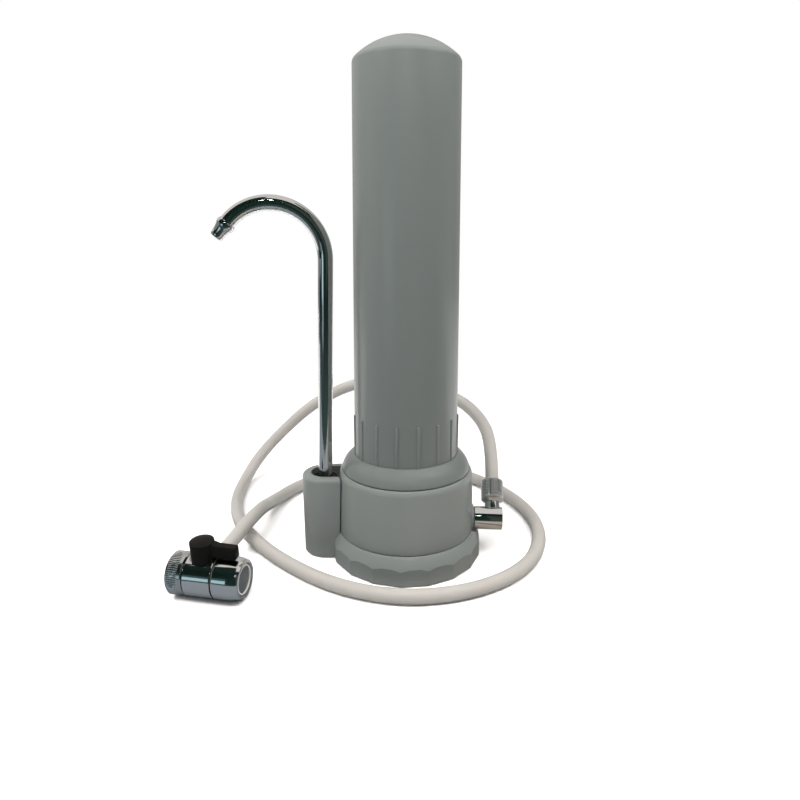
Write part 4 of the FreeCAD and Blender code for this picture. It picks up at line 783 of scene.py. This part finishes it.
class PURIFIER_OT_foot(bpy.types.Operator):
    """Faceted foot with the tower that the spout's socket drops into"""

    bl_idname = "purifier.foot"
    bl_label = "Foot and tower"

    def execute(self, context):
        sizes = context.scene.purifier_sizes
        tray = [(0, 0.8), (46, 0.8), (46, 3.0), (48, 3.0), (48, 0.8), (51.9, 0.8), (51.9, 10.4),
                *arc((51.9, 10.4), (46.8, 18.95), 38, 5)[1:], (43.25, 18.95), (43.25, 14.6), (39.85, 14.6),
                (39.85, 4.8), (0, 4.8)]
        foot = turn_up("foot_tray", tray, steps=180)
        self.flats(sizes.skirt_flats)
        tower = self.tower()
        carve(foot, tower, "UNION")
        carve(foot, self.post("slot", 9.5, 14.62, 70))
        notch = turn_up("notch", [(0, 38), (9.8, 38), (9.8, 60), (0, 60)], steps=48, place=INLET @ TO_X)
        carve(foot, notch)
        soften(foot, 0.35, 2, 50, math.radians(17))
        dress(foot, finish_for("housing_grey"), "housing_grey", "housing", "foot")
        return {"FINISHED"}

    def flats(self, count):
        """Slice the skirt of the piece just made to flat faces."""
        bpy.ops.object.mode_set(mode="EDIT")
        for i in range(count):
            turn = math.radians(16 + 360 / count * i)
            facing = Vector((math.cos(turn), math.sin(turn), 0))
            bpy.ops.mesh.select_mode(type="VERT")
            bpy.ops.mesh.select_all(action="SELECT")
            bpy.ops.mesh.bisect(plane_co=facing * FLAT_REACH * MM, plane_no=facing, use_fill=True, clear_outer=True)
        bpy.ops.mesh.select_all(action="SELECT")
        bpy.ops.mesh.remove_doubles(threshold=0.004 * MM)
        bpy.ops.mesh.normals_make_consistent(inside=False)
        bpy.ops.object.mode_set(mode="OBJECT")

    def post(self, name, radius, low, high):
        """Upright on the tower's axis with a round back, whose front half is drawn out towards the head."""
        post = turn_up(name, [(0, low), (radius, low), (radius, high), (0, high)], steps=96,
                       place=Matrix.Translation((TOWER_X, 0, 0)))
        bpy.ops.object.mode_set(mode="EDIT")
        pick(post, lambda co: co.x > TOWER_X + 0.1 * MM and (co.xy - Vector((TOWER_X, 0))).length > 1 * MM)
        bpy.ops.transform.translate(value=(TOWER_REACH * MM, 0, 0))
        bpy.ops.object.mode_set(mode="OBJECT")
        return post

    def tower(self):
        """The post, cut to the head's cone and rounded along its top."""
        tower = self.post("tower", TOWER_RADIUS, 0.8, TOWER_TOP)
        carve(tower, turn_up("head_room", [(0, -1), (44.2, -1), (44.2, 18.95), (47.2, 18.95), (45.7, 60), (0, 60)],
                             steps=160))

        def outer(spot):
            out = abs(spot.y) if spot.x > TOWER_X else (spot.xy - Vector((TOWER_X, 0))).length
            return abs(out - TOWER_RADIUS * MM) < 0.02 * MM and spot.z > (TOWER_TOP - 0.1) * MM

        bpy.ops.object.mode_set(mode="EDIT")
        pick(tower, lambda a, b: outer(a) and outer(b), "EDGE")
        bpy.ops.mesh.bevel(offset=2.8 * MM, segments=6, affect="EDGES")
        bpy.ops.object.mode_set(mode="OBJECT")
        return tower


class PURIFIER_OT_spout(bpy.types.Operator):
    """Chrome gooseneck with its tip, and the black collar that holds it in the tower"""

    bl_idname = "purifier.spout"
    bl_label = "Spout"

    def execute(self, context):
        sizes = context.scene.purifier_sizes
        radius, bend = sizes.spout_radius, sizes.spout_bend
        turn, top = math.radians(140.6), 0.1985
        bpy.ops.object.select_all(action="DESELECT")
        bpy.ops.mesh.primitive_circle_add(vertices=48, radius=radius, location=(0, 0, 0.040))
        tube = bpy.context.object
        tube.name = "spout_gooseneck"
        settle(tube)
        bpy.ops.object.mode_set(mode="EDIT")
        bpy.ops.mesh.select_all(action="SELECT")
        for rise in (0.070, top - 0.110):
            bpy.ops.mesh.extrude_edges_move(TRANSFORM_OT_translate={"value": (0, 0, rise)})
        bpy.ops.mesh.spin(steps=56, angle=-turn, center=(bend, 0, top), axis=(0, 1, 0))
        along = Vector((math.sin(turn), 0, math.cos(turn)))
        bpy.ops.mesh.extrude_edges_move(TRANSFORM_OT_translate={"value": along * 2.2 * MM})
        bpy.ops.mesh.select_all(action="SELECT")
        bpy.ops.mesh.normals_make_consistent(inside=False)
        bpy.ops.object.mode_set(mode="OBJECT")
        apply_modifier(tube, "SOLIDIFY", thickness=0.9 * MM, offset=-1)
        soften(tube, 0)
        settle(tube, TUBE)
        dress(tube, finish_for("chrome"), "chrome", "spout", "spout_tube")
        end = Matrix.Translation((bend - bend * math.cos(turn), 0, top + bend * math.sin(turn)))
        tip = turn_up("spout_nozzle", [
            (4.83, 0), (5.0, 0), *arc((5.0, 0), (5.6, 1.9), 3.3, 4)[1:], *arc((5.6, 1.9), (4.9, 4.6), 5.0, 5)[1:],
            *arc((4.9, 4.6), (3.9, 10.9), -26, 5)[1:], (3.5, 11.4), (3.0, 11.4), (2.8, 11.1), (2.8, 2.2), (4.83, 2.2),
            (4.83, 0)], steps=64, place=TUBE @ end @ Matrix.Rotation(turn, 4, "Y"))
        dress(tip, finish_for("chrome"), "chrome", "spout", "spout_tip")
        collar = turn_up("spout_collar_nut", [
            (4.83, 41.9), (7.9, 41.9), (7.9, 51.02), (8.5, 51.02), (8.5, 53.2),
            *arc((8.5, 53.2), (7.1, 54.6), 1.5, 4)[1:], (5.4, 54.6), (4.83, 54.2), (4.83, 41.9)], steps=96, place=SPOUT)
        dress(collar, finish_for("black_plastic"), "black_plastic", "housing", "spout_collar")
        return {"FINISHED"}


def knurled_nut(name, place, radius, low, top, chamfer):
    """Compression nut: a tapered throat, a knurled grip and the hole that the hose leaves by."""
    count = 30
    grip_low = low + chamfer
    profile = [(5.6, low), (5.75, low), (radius - 0.2, grip_low - 0.3), (radius, grip_low), (radius, grip_low + 0.4)]
    rows = round((top - grip_low) / 2.2)
    pitch = (top - 0.9 - grip_low) / rows
    for i in range(rows):
        start = grip_low + 0.4 + i * pitch
        profile += [(radius, start + pitch - 0.75), (radius - 0.3, start + pitch - 0.55),
                    (radius - 0.3, start + pitch - 0.35), (radius, start + pitch - 0.15)]
    profile += [(radius - 0.5, top), (HOSE_HOLE + 0.5, top), (HOSE_HOLE, top - 0.5), (HOSE_HOLE, top - 2.6),
                (5.6, top - 2.6), (5.6, low)]
    nut = turn_up(name, profile, steps=count * 4)
    groove_round(nut, count, count * 4, grip_low + 0.2, top - 0.4, radius, 0.4)
    soften(nut, 0)
    settle(nut, place)
    return nut


class PURIFIER_OT_inlet(bpy.types.Operator):
    """Chrome inlet elbow with its leaning stub and the knurled nut of the hose"""

    bl_idname = "purifier.inlet"
    bl_label = "Inlet"

    def execute(self, context):
        body = turn_up("inlet_elbow_body", [
            (0, 30), (6, 30), (6, 47.4), (7.4, 47.4), (7.8, 47.8), (7.8, 65.8), (7.6, 66.3), (7.1, 66.5), (0, 66.5)],
            steps=96, place=ELBOW @ TO_X)
        stub = turn_up("stub", [(3.2, 1), (5.45, 1), (5.45, 11.0), (5.2, 17.5), (3.2, 17.5), (3.2, 1)], steps=64,
                       place=STUB)
        carve(body, stub, "UNION")
        soften(body, 0)
        dress(body, finish_for("chrome"), "chrome", "housing", "inlet_elbow")
        nut = knurled_nut("inlet_knurled_nut", STUB, 7.7, 10.9, 27.0, 2.2)
        dress(nut, finish_for("knurled_chrome"), "chrome", "housing", "inlet_nut")
        return {"FINISHED"}


class PURIFIER_OT_valve(bpy.types.Operator):
    """Chrome diverter: body, fluted tap nut, outlet sleeve with its mesh, and the hose's nut"""

    bl_idname = "purifier.valve"
    bl_label = "Diverter valve"

    def execute(self, context):
        sizes = context.scene.purifier_sizes
        along = VALVE @ TO_X
        # Two points close together at a wall's end keep the shading of its rounded edge off the straight wall
        body = turn_up("valve_body", [
            (3.2, -13.9), (11.0, -13.9), (11.0, -12.2), (9.0, -12.2), (9.0, -8.6), (12.7, -8.6), (13.4, -7.9),
            (13.4, -7.6), (13.4, 8.8), (13.4, 9.1), (13.2, 9.4), (11.2, 9.4), (11.2, 13.7), (3.2, 13.7), (3.2, -13.9)],
            steps=128, place=along)
        boss = turn_up("port_boss", [(3.2, 4), (6.2, 4), (6.2, 13.4), (5.8, 14.0), (5.45, 14.0), (5.45, 17.0),
                                     (3.2, 17), (3.2, 4)], steps=64, place=PORT)
        carve(body, boss, "UNION")
        flat = turn_up("lever_flat", [(0, 11.4), (7.4, 11.4), (7.4, 20), (0, 20)], steps=64, place=VALVE)
        carve(body, flat)
        soften(body, 0)
        dress(body, finish_for("chrome"), "chrome", "housing", "diverter_body")
        self.swivel_nut(sizes.swivel_flutes, along)
        sleeve = turn_up("valve_outlet_sleeve", [
            (11.5, 10.4), (13.2, 10.4), (13.4, 10.7), (13.4, 11.0), (13.4, 17.5),
            *arc((13.4, 17.5), (12.1, 25.9), 40, 6)[1:], (11.6, 26.5), (10.1, 26.5), (9.7, 26.1), (9.7, 22.3),
            (10.4, 22.3), (10.4, 13.9), (11.5, 13.9), (11.5, 10.4)], steps=128, place=along)
        dress(sleeve, finish_for("chrome"), "chrome", "housing", "diverter_outlet_sleeve")
        # A black ring sunk in the split between body and sleeve: painted shade that makes the split read as a dark
        # groove
        split_shade_ring = turn_up("valve_split_shade_ring", [(11.3, 9.45), *arc((12.6, 9.45), (12.6, 10.35), 0.6, 4), (11.3, 10.35),
                                            (11.3, 9.45)], steps=96, place=along)
        dress(split_shade_ring, finish_for("black_rubber"), "black_rubber", "housing")
        nut = knurled_nut("valve_hose_nut", PORT, 7.0, 14.4, 24.5, 0.6)
        dress(nut, finish_for("knurled_chrome"), "chrome", "housing", "diverter_hose_nut")
        return {"FINISHED"}

    def swivel_nut(self, count, along):
        """Fluted ring with its inner thread cut as close rings."""
        steps = count * 4
        thread = []
        for i in range(5):
            start = -13.9 - i * 1.1
            thread += [(11.55, start), (11.0, start - 0.35), (11.0, start - 0.55), (11.55, start - 0.9)]
        nut = turn_up("valve_tap_nut", [
            (11.9, -19.9), (12.3, -19.9), *arc((12.3, -19.9), (13.3, -18.9), -1.0, 4)[1:], (13.3, -18.6), (13.3, -18.2),
            (13.3, -15), (13.3, -12.4), (13.3, -12.0), (13.2, -11.9), (13.2, -9.8), (12.6, -9.1), (9.1, -9.1),
            (9.1, -10.7), (11.9, -10.7), *thread, (11.6, -19.5),
            (11.9, -19.9)], steps=steps)
        groove_round(nut, count, steps, -18.5, -12.3, 13.3, 0.28)
        soften(nut, 0)
        settle(nut, along)
        dress(nut, finish_for("satin_chrome"), "chrome", "diverter_swivel_nut", "diverter_swivel_nut")


class PURIFIER_OT_lever(bpy.types.Operator):
    """Black lever: a crowned hub with a thumb arm"""

    bl_idname = "purifier.lever"
    bl_label = "Diverter lever"

    def execute(self, context):
        hub = turn_up("valve_lever", [
            (0, 11.48), (6.8, 11.48), (7.4, 12.1), (7.4, 24.4), *arc((7.4, 24.4), (0, 25.6), 23.4, 8)[1:]], steps=96)
        bpy.ops.transform.translate(value=(1.2 * MM, 0, 0))
        settle(hub)
        arm = block("arm", (2.5, -3, 14.8), (8.6, 3, 24.2))
        for reach, drop in ((3.0, 1.1), (11.9, 0.4)):
            bpy.ops.object.mode_set(mode="EDIT")
            pick(arm, lambda centre, normal: normal.x > 0.9, "FACE")
            bpy.ops.mesh.extrude_region_move(TRANSFORM_OT_translate={"value": (reach * MM, 0, 0)})
            end = max(v.co.x for v in bmesh.from_edit_mesh(arm.data).verts)
            pick(arm, lambda co: co.x > end - 0.1 * MM and co.z > 20 * MM)
            bpy.ops.transform.translate(value=(0, 0, -drop * MM))
            bpy.ops.object.mode_set(mode="OBJECT")
        soften(arm, 1.1, 4)
        carve(hub, arm, "UNION")
        soften(hub, 0.5, 3, 35)
        settle(hub, VALVE)
        dress(hub, finish_for("black_plastic"), "black_plastic", "diverter_lever", "diverter_lever")
        return {"FINISHED"}


class PURIFIER_OT_small_parts(bpy.types.Operator):
    """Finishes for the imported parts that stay: seals, cartridge, sleeves, screws and the outlet's inside"""

    bl_idname = "purifier.small_parts"
    bl_label = "Small and inner parts"

    def execute(self, context):
        slots = {row["node"]: row["material_slot"] for row in frame["record"]["subparts"]}
        slots["aerator_screen"] = "mesh"
        for name, node in frame["nodes"].items():
            if node.hide_render:
                continue
            node.data.materials.clear()
            node.data.materials.append(finish_for(slots[name]))
            only(node)
            bpy.ops.object.shade_smooth_by_angle(angle=SMOOTH_ANGLE, keep_sharp_edges=False)
        return {"FINISHED"}


class PURIFIER_PT_panel(bpy.types.Panel):
    """Sidebar panel with one button for each piece"""

    bl_label = "Water purifier"
    bl_idname = "PURIFIER_PT_panel"
    bl_space_type = "VIEW_3D"
    bl_region_type = "UI"
    bl_category = "Purifier"

    def draw(self, context):
        for group in (context.scene.purifier_sizes, context.scene.purifier_colours):
            box = self.layout.box()
            for name in group.__annotations__:
                box.prop(group, name)
        for operator in OPERATORS:
            self.layout.operator(operator.bl_idname)


OPERATORS = (
    PURIFIER_OT_studio,
    PURIFIER_OT_canister,
    PURIFIER_OT_head,
    PURIFIER_OT_foot,
    PURIFIER_OT_spout,
    PURIFIER_OT_inlet,
    PURIFIER_OT_valve,
    PURIFIER_OT_lever,
    PURIFIER_OT_hose,
    PURIFIER_OT_small_parts,
)
CLASSES = (PurifierSizes, PurifierColours, *OPERATORS, PURIFIER_PT_panel)


def register():
    for each in CLASSES:
        bpy.utils.register_class(each)
    bpy.types.Scene.purifier_sizes = PointerProperty(type=PurifierSizes)
    bpy.types.Scene.purifier_colours = PointerProperty(type=PurifierColours)


def unregister():
    del bpy.types.Scene.purifier_sizes
    del bpy.types.Scene.purifier_colours
    for each in reversed(CLASSES):
        bpy.utils.unregister_class(each)


def main():
    """Make everything in order."""
    register()
    for operator in OPERATORS:
        group, name = operator.bl_idname.split(".")
        getattr(getattr(bpy.ops, group), name)()


if __name__ == "__main__":
    main()
